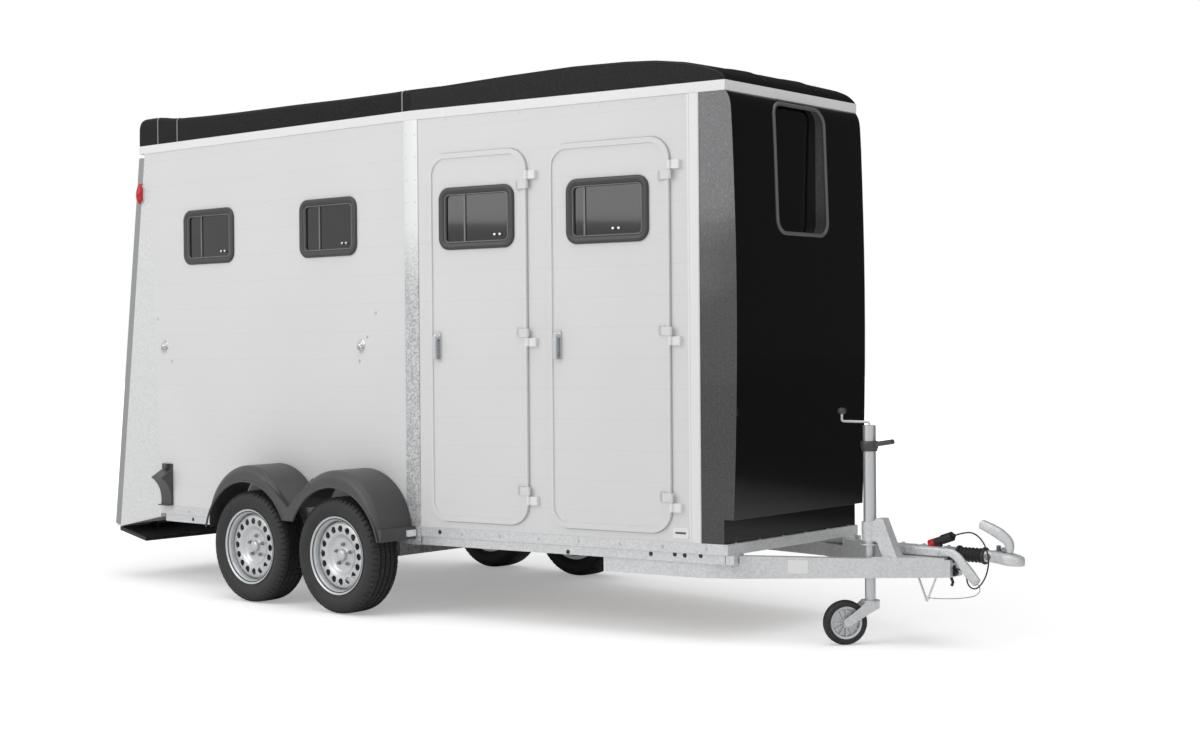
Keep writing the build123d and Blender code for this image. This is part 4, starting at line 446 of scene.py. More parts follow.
def nose_material_painted_light():
    """Flaked sides with a painted sheen that grows with height, and painted shade of plain black where the
    surface faces ahead: a step on the normal's x.
    """
    made, tree, shader = material("nose_gelcoat_painted_light", "#1A1A1B", 0.2, 0.0, **{"Coat Weight": 0.35,
                                                                         "Coat Roughness": 0.05})
    normal = node(tree, "ShaderNodeNewGeometry").outputs["Normal"]
    # Painted shade: faces that look ahead turn plain black.
    front = span(tree, coordinate(tree, normal, 0), 0.5, 0.75)
    # Painted sheen: the flaked sides turn paler between 2.05 m and 2.45 m up, the border moved by soft noise.
    sheen_cloud = maths(tree, "MULTIPLY", noise(tree, 2.2, 1.0), 0.7)
    level = maths(tree, "ADD", coordinate(tree, place_node(tree), 2), sheen_cloud)
    sides = blend(tree, span(tree, level, 2.05, 2.45), flake_noise(tree, "#2A2A2B", "#58585A"),
                  flake_noise(tree, "#555557", "#8E8E91"))
    tree.links.new(blend(tree, front, sides, linear("#0B0B0C")), shader.inputs["Base Color"])
    tree.links.new(span(tree, front, 0.0, 1.0, 0.36, 0.1), shader.inputs["Roughness"])
    return made


black_gelcoat = gelcoat_material("black_flake_gelcoat", "#0A0A0B", "#2E2E30")
nose_gelcoat_painted_light = nose_material_painted_light()

# %% Plastic and rubber


def grained_material(name, colour, speck, roughness, grain_mm, relief_mm, **sockets):
    """Plastic, rubber, paint or a lens: a fine noise grain in colour and relief."""
    made, tree, shader = material(name, colour, roughness, **sockets)
    grain = noise(tree, 1000 / grain_mm, 3.0)
    tree.links.new(ramp(tree, grain, ((0.35, colour), (0.75, speck))), shader.inputs["Base Color"])
    bump(tree, shader, grain, 0.4, relief_mm * MM)
    return made


moulded = grained_material("moulded_polypropylene", "#414142", "#4F4F50", 0.4, 5.0, 0.2)
tyre_rubber = grained_material("tyre_rubber", "#1F1F20", "#2C2C2D", 0.62, 7.0, 0.2)
soft_rubber = grained_material("soft_black_rubber", "#171718", "#232324", 0.6, 3.0, 0.1)
frame_plastic = grained_material("window_frame_plastic", "#363637", "#424243", 0.42, 4.0, 0.1)
# This black also stands as painted shade in the chassis holes.
black_paint = grained_material("black_paint", "#1A1A1B", "#242425", 0.4, 9.0, 0.08)
rubber_mat = grained_material("rubber_floor_mat", "#2A2A2A", "#383838", 0.85, 18.0, 0.8)

# %% [markdown]
# ### Paint, chrome, lenses, glass and wood
# Wheel paint is silver lacquer with a soft shine. Chrome is a full metal. The windows are tinted
# acrylic with a clear gloss over it, drawn as an opaque sheet whose dark colour is partly the tint and
# partly painted shade for the dim inside, where little light comes back from.

# %% The smaller finishes
# Grey on the nose's black recess rim is a painted highlight.
rim_painted_highlight = material("gelcoat_rim_painted_highlight", "#646466", 0.25)[0]
door_seal = material("pale_door_seal", "#BFBFBF", 0.5)[0]
channel_grey = material("grey_window_channel", "#77787A", 0.35)[0]
channel_light = material("anodised_edge_profile", "#9C9D9F", 0.4, 0.3)[0]
channel_pale = material("pale_hinge_block", "#C4C5C6", 0.4)[0]
seam_line_grey = material("light_grey_seam_line", "#8E8E8F", 0.5)[0]
wheel_paint = grained_material("silver_wheel_lacquer", "#C4C6C8", "#D3D5D6", 0.32, 4.0, 0.02, Metallic=0.55)
chrome = grained_material("chromed_zinc_casting", "#C9CBCD", "#D9DBDD", 0.16, 8.0, 0.01, Metallic=1.0)
# Dark colour: the tint, and painted shade for the dim inside behind the panes.
glass = grained_material("tinted_acrylic_with_painted_shade", "#101112", "#17181A", 0.06, 60.0, 0.02, **{"Coat Weight": 0.3})
red_lens = grained_material("red_lens", "#B3161C", "#D22A2A", 0.16, 7.0, 0.1)
clear_lens = grained_material("clear_lens", "#E3E6E8", "#F2F4F5", 0.12, 7.0, 0.1)
red_plastic = grained_material("red_cap_plastic", "#C8202C", "#D8343C", 0.4, 4.0, 0.05)


def wood_material():
    """Coated plywood: stretched noise gives the grain that shows through the brown film."""
    made, tree, shader = material("film_faced_plywood", "#6A4E38", 0.5)
    stretch = node(tree, "ShaderNodeMapping", {"Vector": place_node(tree), "Scale": (2.0, 30.0, 30.0)})
    grain = noise(tree, 1.5, 5.0, stretch.outputs[0])
    tree.links.new(ramp(tree, grain, ((0.35, "#5A4230"), (0.7, "#7A5C44"))), shader.inputs["Base Color"])
    return made


plywood = wood_material()
print("finishes:", len(bpy.data.materials))

# %% Pairs of a slot name and a finish for the new pieces
STEEL, DARK_STEEL = ("galvanised_steel", zinc), ("galvanised_steel", zinc_dark)
GELCOAT, WHITE = ("black_gelcoat", black_gelcoat), ("white_gelcoat", white_gelcoat)
PLASTIC, LACQUER = ("moulded_plastic", moulded), ("wheel_paint", wheel_paint)
CHROMED, MATTING = ("chrome", chrome), ("rubber", rubber_mat)

# %% [markdown]
# ## Finishing the frame's own pieces
# A CAD model has perfectly sharp edges, and real ones catch a line of light. A Weld modifier joins the
# loose triangles, and a Bevel rounds every edge that turns by more than 30 degrees. Weighted normals
# let the large flat faces decide the shading, so the walls stay flat. The mesh stays as measured.

# %% Finish every node by name
FINISH = (
    (aluminium, ("side_wall_left_front", "side_wall_left_rear", "side_wall_right_front",
                 "side_wall_right_rear", "rear_door_leaf", "front_door_leaf", "ramp")),
    (white_gelcoat, ("cap_rail", "door_wall_hinges")),
    (zinc, ("chassis_frame", "drawbar", "overrun_device", "coupling_head",
            "coupling_handle", "handbrake_lever", "jockey_clamp", "jockey_fork", "jockey_crank",
            "partition")),
    (zinc_tube, ("jockey_outer_tube", "jockey_inner_tube")),
    (zinc_dark, ("axle_front", "axle_rear")),
    (zinc_sheet, ("rear_frame",)),
    (zinc_post_painted_reflection, ("wall_posts",)),
    (nose_gelcoat_painted_light, ("nose_shell",)),
    (black_gelcoat, ("roof_front", "roof_rear")),
    (moulded, ("mudguard_left", "mudguard_right", "chock_holders", "wheel_chocks")),
    (frame_plastic, ("window_frames", "rear_door_window_frame", "front_door_window_frame")),
    (glass, ("window_glass", "rear_door_window_glass", "front_door_window_glass")),
    (chrome, ("rear_door_handle", "front_door_handle")),
    (black_paint, ("bumper_plate",)),
    (red_lens, ("rear_lamps",)),
    (clear_lens, ("marker_lamps",)),
    (plywood, ("floor_panel", "bulkhead")),
    (soft_rubber, ("coupling_bellows", "jockey_grip", "jockey_tyre", "power_plug")),
    (tyre_rubber, ("tyre_front_left", "tyre_front_right", "tyre_rear_left", "tyre_rear_right")),
    (wheel_paint, ("wheel_front_left", "wheel_front_right", "wheel_rear_left",
                   "wheel_rear_right", "jockey_wheel")),
)
BEVEL = {"window_glass": 0, "rear_door_window_glass": 0, "front_door_window_glass": 0,
         "coupling_bellows": 0.8, "jockey_grip": 4.0, "coupling_head": 5.0, "coupling_handle": 3.0,
         "handbrake_lever": 3.0, "roof_front": 0, "roof_rear": 0, "nose_shell": 3.0, "window_frames": 4.0,
         "rear_lamps": 3.0, "rear_door_window_frame": 4.0, "front_door_window_frame": 4.0, "cap_rail": 3.0,
         "rear_door_handle": 2.5, "front_door_handle": 2.5, "power_plug": 3.0}
EDGE_WIDTH = 1.5


def soften(obj, width):
    """Weld loose corners, then round edges sharper than 30 degrees by a width in millimetres."""
    obj.data.polygons.foreach_set("use_smooth", np.ones(len(obj.data.polygons), bool))
    weld = obj.modifiers.new("weld", "WELD")
    weld.merge_threshold = 1e-5
    if width:
        bevel = obj.modifiers.new("soft_edges", "BEVEL")
        bevel.width = width * MM
        bevel.segments = 2
        bevel.limit_method = "ANGLE"
        bevel.angle_limit = radians(30)
    weighted = obj.modifiers.new("flat_faces_first", "WEIGHTED_NORMAL")
    weighted.mode = "FACE_AREA_WITH_ANGLE"
    weighted.weight = 80


for finish, members in FINISH:
    for member in members:
        nodes[member].data.materials.clear()
        nodes[member].data.materials.append(finish)
        soften(nodes[member], BEVEL.get(member, EDGE_WIDTH))
print("nodes with a finish:", sum(len(members) for finish, members in FINISH))

# %% [markdown]
# ## The roof
# The real roof is two mouldings with a soft shoulder all round. Its surface is a function of two
# parameters: one runs along the trailer over the roof's side view, and one runs across, up a short
# side, round a quarter circle and over a slightly crowned top.

# %% Roof surface
ROOF_VIEW = np.array((
    (4225, 2656), (4225, 2735), (4224, 2785), (4219, 2804), (4206, 2814), (4180, 2819), (4090, 2819),
    (4010, 2815), (3920, 2803), (3830, 2796), (3600, 2788), (3320, 2782), (2790, 2777), (2400, 2770),
    (2010, 2767), (1650, 2770), (1270, 2785), (850, 2796), (555, 2791), (385, 2781), (220, 2758),
    (110, 2731), (50, 2706), (14, 2684), (0, 2660)), float)
ROOF_ROUND, ROOF_CROWN = 24.0, 7.0
SEAMS, SEAM_HALF = (("roof_seam", 1915), ("rear_cap_seam", 4040), ("rear_cap_edge", 3850)), 4


def along_roof(count):
    """Side view resampled at even steps of its length, then smoothed by a short running mean."""
    steps = np.concatenate(([0], np.cumsum(np.linalg.norm(np.diff(ROOF_VIEW, axis=0), axis=1))))
    even = np.linspace(0, steps[-1], count)
    line = np.stack([np.interp(even, steps, ROOF_VIEW[:, k]) for k in range(2)], axis=1)
    smooth = line.copy()
    smooth[1:-1] = (line[:-2] + 2 * line[1:-1] + line[2:]) / 4
    return smooth


def roof_section(behind, top, lift=0.0):
    """Across the roof: side up to the shoulder, quarter circle of radius r, then the crowned top."""
    half = half_width(behind)[:, None] + lift
    rise = np.maximum((top - RAIL_TOP), 2.0)[:, None]
    r = np.minimum(ROOF_ROUND, rise * 0.9)
    t = np.linspace(0, pi / 2, 9)[None, :]
    side_y = np.concatenate([half * np.ones((1, 2)), half - r + r * np.cos(t)], axis=1)
    side_z = np.concatenate([RAIL_TOP + (rise - r) * np.array([[0.0, 0.55]]),
                             RAIL_TOP + rise - r + r * np.sin(t)], axis=1)
    share = np.linspace(1, 0, 10)[None, 1:]
    top_y = (half - r) * share
    top_z = RAIL_TOP + rise + ROOF_CROWN * (1 - share ** 2) * np.minimum(rise / 100, 1)
    y = np.concatenate([side_y, top_y], axis=1)
    z = np.concatenate([side_z, top_z + 0 * y[:, :1]], axis=1) + lift
    y = np.concatenate([y, -y[:, -2::-1]], axis=1)
    z = np.concatenate([z, z[:, -2::-1]], axis=1)
    x = np.broadcast_to(FRONT_X - behind[:, None], y.shape)
    return np.stack([x, y, z], axis=-1) * MM


roof_line = along_roof(260)
roof = make_piece("roof_moulding", [surface(roof_section(roof_line[:, 0], roof_line[:, 1]))],
                  "roof_front", *GELCOAT, 60)
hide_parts("roof_front", "roof_rear")
thicken(roof, "moulding_thickness", 0.008)


def seam_strip(place):
    """A narrow strip of the roof's own surface across it, lifted a little."""
    places = np.linspace(place + SEAM_HALF, place - SEAM_HALF, 3)
    tops = np.interp(-places, -roof_line[:, 0], roof_line[:, 1])
    outer, inner = roof_section(places, tops, 1.2), roof_section(places, tops, -1.0)
    return surface(np.concatenate([inner[:1], outer, inner[-1:]]))


# Each seam is drawn as a light grey strip, lifted a little over the roof.
for name, place in SEAMS:
    make_piece(name, [seam_strip(place)], "roof_front", "black_gelcoat", seam_line_grey, 30)
print("roof:", round(float(roof_line[:, 1].max())), "mm high at its top")

# %% [markdown]
# Two soft ribs run back from the nose's recess over the roof. Each is a thin tube along the roof's own
# side view, half sunk in the moulding.

# %% Roof ribs
RIB_SIDE, RIB_START, RIB_END = 222.0, 6, 620


def roof_rib(y):
    """Path = roof line at one distance from the middle, from the rail back to the rib's end."""
    line = roof_line[(roof_line[:, 0] < RIB_END) & (roof_line[:, 0] > RIB_START)]
    return np.stack([FRONT_X - line[:, 0], np.full(len(line), y), line[:, 1] + ROOF_CROWN * 0.8], axis=1)


make_piece("roof_ribs", [tube(roof_rib(y), 4.0) for y in (-RIB_SIDE, RIB_SIDE)], "roof_front", *GELCOAT)

# %% [markdown]
# ## The nose
# The moulded nose meets the side walls under a pale corner profile, and its recess has a soft rim. The
# rim is a thin tube along a rounded rectangle, laid on the nose's own bulged front line.

# %% Nose trims
NOSE_VIEW = np.array(((470, -18), (585, -18), (586, 33), (900, 45), (1500, 56), (1960, 52), (2273, 43),
                      (2507, 33), (2578, 20), (2604, 3)), float)
RECESS_HALF, RECESS_LOW, RECESS_HIGH, RECESS_CORNER = 222.0, 1950.0, 2580.0, 70.0
CORNER_HALF, CORNER_REACH, CORNER_BEHIND, CORNER_Z = 31.5, 1067.0, 171.5, 1537


def nose_front(z):
    """How far the nose's front stands ahead of the body's front at a height."""
    return FRONT_X + np.interp(z, NOSE_VIEW[:, 0], NOSE_VIEW[:, 1])


def recess_rim():
    """Rounded rectangle in y and z, laid on the front line."""
    ring = rounded(2 * RECESS_HALF, RECESS_HIGH - RECESS_LOW, RECESS_CORNER, 10)
    z = ring[:, 1] + (RECESS_LOW + RECESS_HIGH) / 2
    return np.stack([nose_front(z) + 1.0, ring[:, 0], z], axis=1)


# The rim is painted grey as a highlight along its edge.
make_piece("nose_recess_rim", [tube(recess_rim(), 10.0, closed=True)], "nose_shell", "black_gelcoat",
           rim_painted_highlight)
strip = np.array(((-1, -1), (1, -1), (1, 1), (-1, 1))) * (CORNER_HALF, CORNER_REACH)
corner_parts = []
for side in (-1, 1):
    corner_parts.append(slab(front_wall(side, CORNER_BEHIND, CORNER_Z), strip, 4.0))
    for offset in (-24.0, 24.0):
        bead = strip * (0.1, 1.0) + (offset, 0)
        corner_parts.append(slab(front_wall(side, CORNER_BEHIND, CORNER_Z, 3.0), bead, 3.0))
make_piece("corner_profiles", corner_parts, "nose_shell", *WHITE)

# %% [markdown]
# ## Tyres
# A tyre is a section turned about its axle. The tread's radius is also a function of the angle: square
# waves cut the shoulder into blocks, and four grooves run round the middle. The waves are offset from
# one shoulder to the other, as on real road tyres.

# %% Tread surface
BLOCKS, BLOCK_DEPTH, BLOCK_GAP = 60, 6.5, 0.25
SIPE_GAP, SIPE_SHARE = 0.12, 0.55
SHOULDER_IN, SHOULDER_OUT, SHOULDER_RADIUS, MIDDLE_OUT, MIDDLE_RADIUS = 55, 97, 288, 50, 305
TYRE_HALF = ((78, 193), (80, 214), (90, 232), (97, 252), (96.5, 270), (92, 286), (86, 295), (78, 303),
             (71, 306.5), (56, 308.8), (54, 308.9), (53, 301.5), (46, 301.5), (45, 309.2), (22, 309.8),
             (21, 302), (13, 302), (12, 309.9))


def tyre_section():
    """Pairs of (out, radius) from the outer bead over the tread to the inner one, with grooves."""
    outer = np.array(TYRE_HALF, float)
    return np.concatenate([outer, outer[::-1] * (-1, 1)])


def tyre_points(x, side):
    """Point = middle + R(s, t) (cos t, sin t) across and h(s) out, with blocks cut into the shoulders."""
    t = angles(480)[:, None]
    h, r = tyre_section().T
    fade = np.clip((np.abs(h) - SHOULDER_IN) / 6, 0, 1) * np.clip((SHOULDER_OUT - np.abs(h)) / 8, 0, 1)
    phase = (t * BLOCKS / (2 * pi) + np.where(h > 0, 0.0, 0.5)) % 1.0
    shoulder = (phase < BLOCK_GAP) * fade * (r > SHOULDER_RADIUS)
    middle = ((np.abs(h) < MIDDLE_OUT) & (r > MIDDLE_RADIUS)) * ((phase * 2) % 1.0 < SIPE_GAP) * SIPE_SHARE
    radius = r - BLOCK_DEPTH * np.maximum(shoulder, middle)
    return wheel_place(x, side).points(radius * np.cos(t), radius * np.sin(t), h + 0 * radius)


for wheel, x, side in WHEELS:
    points = tyre_points(x, side)
    tyre = make_piece("road_tyre_" + wheel, [surface(points, wrap_rows=True, wrap_columns=True)],
                      "tyre_" + wheel, "tyre", tyre_rubber, 35)
    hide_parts("tyre_" + wheel)
print("tyre grid:", points.shape[0], "by", points.shape[1])

# %% [markdown]
# ## Wheels
# A steel wheel is a barrel with a pressed disc in it. The disc is turned from a profile, apart from its
# ring of sixteen vent holes. There each hole has its own patch of grid: one parameter runs round the
# hole, the other from the hole's edge out to the patch's border, so the holes are truly open.

# %% Wheel discs with open vents
VENTS, VENT_RING, VENT_HALF = 16, 141.0, 17.0
RING_IN, RING_OUT = 114.0, 168.0
WHEEL_BOLTS, BOLT_RING = 5, 56.0


def disc_height(r):
    """Crown of the vent ring: 50 + 5 sin(pi u), with u running across the ring."""
    return 50 + 5 * np.sin(pi * np.clip((r - RING_IN) / (RING_OUT - RING_IN), 0, 1))


def vent_patch(place, index):
    """Point = (1 - t) hole(s) + t border(s), mixed in the disc's plane, then lifted to the crown."""
    middle = 2 * pi * index / VENTS
    half = pi / VENTS
    corners = np.array(((half, RING_OUT), (-half, RING_OUT), (-half, RING_IN), (half, RING_IN)))
    edge = np.concatenate([np.linspace(corners[k], corners[(k + 1) % 4], 9)[:-1] for k in range(4)])
    border = np.stack([edge[:, 1] * np.cos(edge[:, 0]), edge[:, 1] * np.sin(edge[:, 0])], axis=1)
    away = border - (VENT_RING, 0)
    hole = (VENT_RING, 0) + away / np.linalg.norm(away, axis=1, keepdims=True) * VENT_HALF
    t = np.array((0.0, 0.12, 0.4, 0.7, 1.0))[:, None, None]
    flat = (1 - t) * hole[None] + t * border[None]
    a = flat[..., 0] * cos(middle) - flat[..., 1] * sin(middle)
    u = flat[..., 0] * sin(middle) + flat[..., 1] * cos(middle)
    height = disc_height(np.hypot(a, u))
    height[0] -= 3.0
    return surface(place.points(a, u, height), wrap_columns=True)


BARREL = ((208, 84), (208, 78), (192, 76), (191, -76), (208, -78), (208, -84), (186, -83), (184, -60),
          (184, 60), (188, 70), (195, 74), (199, 80), (204, 83.5))
HUB = ((0, 57), (18, 56.5), (26, 54), (30, 49), (31, 32), (34, 30), (52, 30), (82, 30), (90, 32), (98, 38),
       (106, 46), (RING_IN, 50))
SKIRT = ((RING_OUT, 50), (174, 46), (179, 38), (182, 26), (183.5, 12))
BOLT_HEAD = ((0, 17), (6, 17), (8.5, 14), (9.5, 3), (12, 0))
DRUM = ((0, 20), (104, 20), (114, 16), (118, 8), (118, -94), (0, -94))
for wheel, x, side in WHEELS:
    hub = wheel_place(x, side)
    rim = make_piece("wheel_barrel_" + wheel, [lathe(hub, BARREL, 96, closed=True)], "wheel_" + wheel,
                     *LACQUER)
    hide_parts("wheel_" + wheel)
    disc = make_piece("wheel_disc_" + wheel, [lathe(hub, HUB, 96), lathe(hub, SKIRT, 96)]
                      + [vent_patch(hub, k) for k in range(VENTS)], "wheel_" + wheel, *LACQUER)
    thicken(disc, "steel_thickness", 0.004)
    bolts = [lathe(hub, DRUM, 48)]
    for k in range(WHEEL_BOLTS):
        angle = 2 * pi * k / WHEEL_BOLTS + pi / 2
        middle = hub.middle + BOLT_RING * (cos(angle) * hub.along + sin(angle) * hub.up) + 30 * hub.out
        bolts.append(lathe(Place(middle, hub.along, hub.up), BOLT_HEAD, 6))
    make_piece("wheel_bolts_" + wheel, bolts, "wheel_" + wheel, "wheel_paint", zinc_dark)
print("vent holes:", VENTS, "on each wheel")

# %% [markdown]
# ## Mudguard lips
# A rolled lip stiffens the edge of each opening. It follows the opening's own circle, from the foot of
# the arch to the foot of the V.

# %% Lips
LIP_RADIUS, LIP_Y, LIP_Z = 357, 1081.0, 320
lip_parts = []
for side in (-1, 1):
    for x, start, end in ((WHEEL_X[0], 13.5, 153.0), (WHEEL_X[1], 27.0, 166.5)):
        t = np.radians(np.linspace(start, end, 60))
        line = np.stack([x + LIP_RADIUS * np.cos(t), np.full(60, side * LIP_Y),
                         LIP_Z + LIP_RADIUS * np.sin(t)], axis=1)
        lip_parts.append(tube(line, 6.0, 8))
make_piece("mudguard_lips", lip_parts, "mudguard_right", *PLASTIC)

# %% [markdown]
# ## Windows
# Each window is a moulded frame round two sliding panes. The frame is one profile carried round a
# rounded rectangle: every point of the profile is a ring, drawn in by its distance from the outer edge
# and lifted by its height off the wall.

# %% Window frames, dividers and knobs
FRAME_PROFILE = ((0, 0), (0, 7), (3, 11), (8, 13), (24, 13), (28, 10.5), (31, 10.5), (35, 7), (38, -8),
                 (36, -12), (2, -0.5))
LIP_PROFILE = ((35.5, 6.5), (37, 8.0), (40, 8.0), (41.5, 4), (41.5, -6), (38, -6))
KNOB = ((0, 12), (6, 11), (8, 8), (7, 4), (5, 0))
WINDOW_TALL, WINDOW_CORNER, WINDOW_Z = 322, 62, 2074
SIDE_WINDOW_WIDE, DOOR_WINDOW_WIDE, DOOR_PROUD = 466.0, 475.0, 8.0


def ring_profile(place, width, profile):
    """Ring k = rounded rectangle drawn in by profile k's first number, out by its second."""
    rings = []
    for inset, out in profile:
        flat = rounded(width - 2 * inset, WINDOW_TALL - 2 * inset, max(WINDOW_CORNER - inset, 6), 9)
        rings.append(place.points(flat[:, 0], flat[:, 1], out))
    return surface(np.array(rings), wrap_rows=True, wrap_columns=True)


def inside(place, along, up):
    """A place on the panes, 6 mm behind the wall, shifted along and up."""
    return Place(place.middle + along * place.along + up * place.up - 6 * place.out, place.along, place.up)


WINDOWS = {
    "side_windows": ("window_frames", SIDE_WINDOW_WIDE, -0.16, (0.24, 0.31),
                     [rear_wall(side, middle, WINDOW_Z) for side in (-1, 1) for middle in (2507.0, 3555.0)]),
    "rear_door": ("rear_door_window_frame", DOOR_WINDOW_WIDE, -0.16, (0.24, 0.31),
                  [front_wall(-1, 1440.0, WINDOW_Z, DOOR_PROUD)]),
    "front_door": ("front_door_window_frame", DOOR_WINDOW_WIDE, -0.28, (0.24 - 0.17, 0.31 - 0.17),
                   [front_wall(-1, 649.0, WINDOW_Z, DOOR_PROUD)]),
}
for group, (node_name, width, divider, knobs, places) in WINDOWS.items():
    frames, lips, spots = [], [], []
    for place in places:
        frames.append(ring_profile(place, width, FRAME_PROFILE))
        lips.append(ring_profile(place, width, LIP_PROFILE))
        lips.append(slab(inside(place, divider * width, 0), rounded(9, 244, 2), 6.0))
        spots += [inside(place, at * width, -92) for at in knobs]
    moulding = make_piece("moulded_frame_" + group, frames, node_name, "moulded_plastic", frame_plastic)
    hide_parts(node_name)
    make_piece("pane_channel_" + group, lips, node_name, "moulded_plastic", channel_grey)
    make_piece("window_knobs_" + group, studs(spots, KNOB, 12), node_name, *CHROMED)

# %% [markdown]
# ## Rivets and bolts
# The folded post and the walls' upper and lower edges are riveted. One small dome, turned from four
# points, is placed at every rivet, so hundreds of them stay light.

# %% Rivets on the posts and walls
RIVET = ((0, 2.6), (2.4, 2.2), (4.2, 1.0), (4.8, 0.0))
BOLT = ((0, 6.0), (6.2, 6.0), (7.6, 4.4), (7.6, 0.8), (10.5, 0.8), (10.5, 0.0))
TIE_PLATE = ((0, 17), (5, 16), (9, 13), (10, 8), (17, 7), (19, 4), (30, 3.5), (33, 2.5), (34, 0))
TOP_ROW, LOW_ROW, SILL_ROW, MIDDLE_SEAM, POST = 2590, 484, 444, 3050, 1885
post_rivets, wall_rivets, wall_bolts, tie_plates = [], [], [], []
for side in (-1, 1):
    for z in np.arange(520, TOP_ROW, 118.0):
        post_rivets.append(rear_wall(side, POST, z, 5.0))
        post_rivets.append(front_wall(side, FRONT_WALL - 30, z, 5.0))
    for behind, z in ((4060, 1597), (3925, 1341), (3990, 1462), (2135, 1599), (2265, 1339), (2203, 1470)):
        wall_bolts.append(rear_wall(side, behind, z))
    for behind, z in ((3997, 1432), (2252, 1424)):
        tie_plates.append(rear_wall(side, behind, z))
    for z in np.arange(560, 2560, 240.0):
        wall_rivets.append(rear_wall(side, MIDDLE_SEAM, z))
    for row in (TOP_ROW, LOW_ROW):
        wall_rivets += [rear_wall(side, behind, row) for behind in np.arange(1960, 4040, 173.0)]
        wall_rivets += [front_wall(side, behind, row) for behind in np.arange(230, 1800, 157.0)]
make_piece("post_rivets", studs(post_rivets, RIVET), "wall_posts", *STEEL)
make_piece("wall_rivets", studs(wall_rivets, RIVET), "side_wall_right_rear", "aluminium_plank", aluminium)
make_piece("wall_bolts", studs(wall_bolts, BOLT), "side_wall_right_rear", *STEEL)
tie_parts = studs(tie_plates, TIE_PLATE, 20)
for place in tie_plates:
    t = angles(24)
    ring = (place.middle + np.outer(17 * np.cos(t), place.along) + np.outer(17 * np.sin(t) - 20, place.up)
            + 12 * place.out)
    tie_parts.append(tube(ring, 3.0, 8, closed=True))
make_piece("tie_rings", tie_parts, "side_wall_right_rear", *CHROMED)
print("rivets:", len(post_rivets) + len(wall_rivets), "and bolts:", len(wall_bolts))

# %% Chassis holes as painted shade, and the chassis bolts
# Each hole is a thin black disc on the rail: painted shade where the hole is.
HOLE_SHADE_DISC = ((0, 0.8), (9, 0.8), (11, 0.4), (11.5, 0))
VENT_BEHIND, VENT_Z, RAIL_INSET = 252.5, 513.5, -8.0
chassis_hole_shade_discs, sill_bolts = [], []
for side in (-1, 1):
    for behind, z in ((292, 409), (237, 407), (150, 410), (425, 404), (905, 386)):
        chassis_hole_shade_discs.append(front_wall(side, behind, z, RAIL_INSET))
    chassis_hole_shade_discs.append(front_wall(side, 1700, 446))
    chassis_hole_shade_discs.append(rear_wall(side, 3747, 396, RAIL_INSET))
    sill_bolts += [front_wall(side, behind, SILL_ROW) for behind in np.arange(120, 1800, 240.0)]
    sill_bolts += [rear_wall(side, behind, SILL_ROW) for behind in np.arange(1980, 4040, 300.0)]
make_piece("chassis_hole_shade_discs", studs(chassis_hole_shade_discs, HOLE_SHADE_DISC, 12), "chassis_frame", "galvanised_steel", black_paint)
make_piece("sill_bolts", studs(sill_bolts, BOLT), "chassis_frame", *STEEL)
plate = slab(front_wall(-1, VENT_BEHIND, VENT_Z), rounded(87, 53, 4), 3.0)
slot = slab(front_wall(-1, VENT_BEHIND, VENT_Z, 3.0), rounded(60, 9, 4), 0.8, 0.4)
make_piece("vent_plate", [plate], "side_wall_right_front", *WHITE)
make_piece("vent_slot", [slot], "side_wall_right_front", *PLASTIC)

# %% [markdown]
# ## Hitch and jockey stand
# Levers and the coupling head are forgings and pressings with soft, changing sections. A rounded
# rectangle is carried along a bent line, and its width and height follow their own tables.

# %% Bars with a changing section
BAR_SIDES, END_SHARE = 24, 0.6


def bar(line, widths, heights, y=0.0, steps=40):
    """Section k = superellipse of width w(s) across and height h(s) over, square to a line in XZ."""
    line = np.array(line, float)
    run = np.concatenate(([0], np.cumsum(np.linalg.norm(np.diff(line, axis=0), axis=1))))
    s = np.linspace(0, run[-1], steps)
    path = np.stack([np.interp(s, run, line[:, k]) for k in range(2)], axis=1)
    path[2:-2] = sum(path[2 + k:steps - 2 + k] for k in range(-2, 3)) / 5
    w, h = (np.interp(np.linspace(0, 1, steps), np.linspace(0, 1, len(v)), v) / 2 for v in (widths, heights))
    for table in (w, h):
        table[[0, -1]] *= END_SHARE
    ahead = np.gradient(path, axis=0)
    ahead /= np.linalg.norm(ahead, axis=1, keepdims=True)
    over = np.stack([-ahead[:, 1], ahead[:, 0]], axis=1)
    c, q = squared_circle(BAR_SIDES, 0.55)
    x = FRONT_X + path[:, :1] + h[:, None] * q * over[:, :1]
    z = path[:, 1:] + h[:, None] * q * over[:, 1:]
    return capped(np.stack([x, y + w[:, None] * c + 0 * x, z], axis=-1) * MM)


handle = make_piece("coupling_lever", [
    bar(((1148, 456), (1152, 490), (1140, 515), (1095, 545), (1045, 568), (1006, 582)),
        (28, 34, 42, 44, 38), (34, 42, 50, 46, 42))], "coupling_handle", *STEEL)
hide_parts("coupling_handle")
lever = make_piece("handbrake_arm", [
    bar(((826, 444), (880, 446), (915, 428), (960, 372), (1016, 311)), (16, 18, 24, 26, 24),
        (30, 38, 44, 50, 42), y=-50)], "handbrake_lever", *STEEL)
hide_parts("handbrake_lever")

# %% Coupling head and its details
HEAD_ROWS = ((1034, 27, 412, 460), (1038, 29, 410, 462), (1080, 29, 408, 463), (1110, 36, 405, 461),
             (1135, 46, 402, 458), (1160, 50, 400, 454), (1185, 46, 400, 449), (1205, 34, 400, 444),
             (1216, 20, 401, 438), (1220, 8, 404, 430))
CROSS_BOLT = ((0, 9), (9, 9), (12, 7), (12, 2), (17, 2), (17, 0))
SPRING = ((0, 30), (9, 30), (12, 27), (9, 24), (12, 21), (9, 18), (12, 15), (9, 12), (12, 9), (9, 0))
CLIP = ((25, 0), (39, 0), (40, 3), (40, 9), (39, 12), (25, 12))
SHAFT_Z = 436


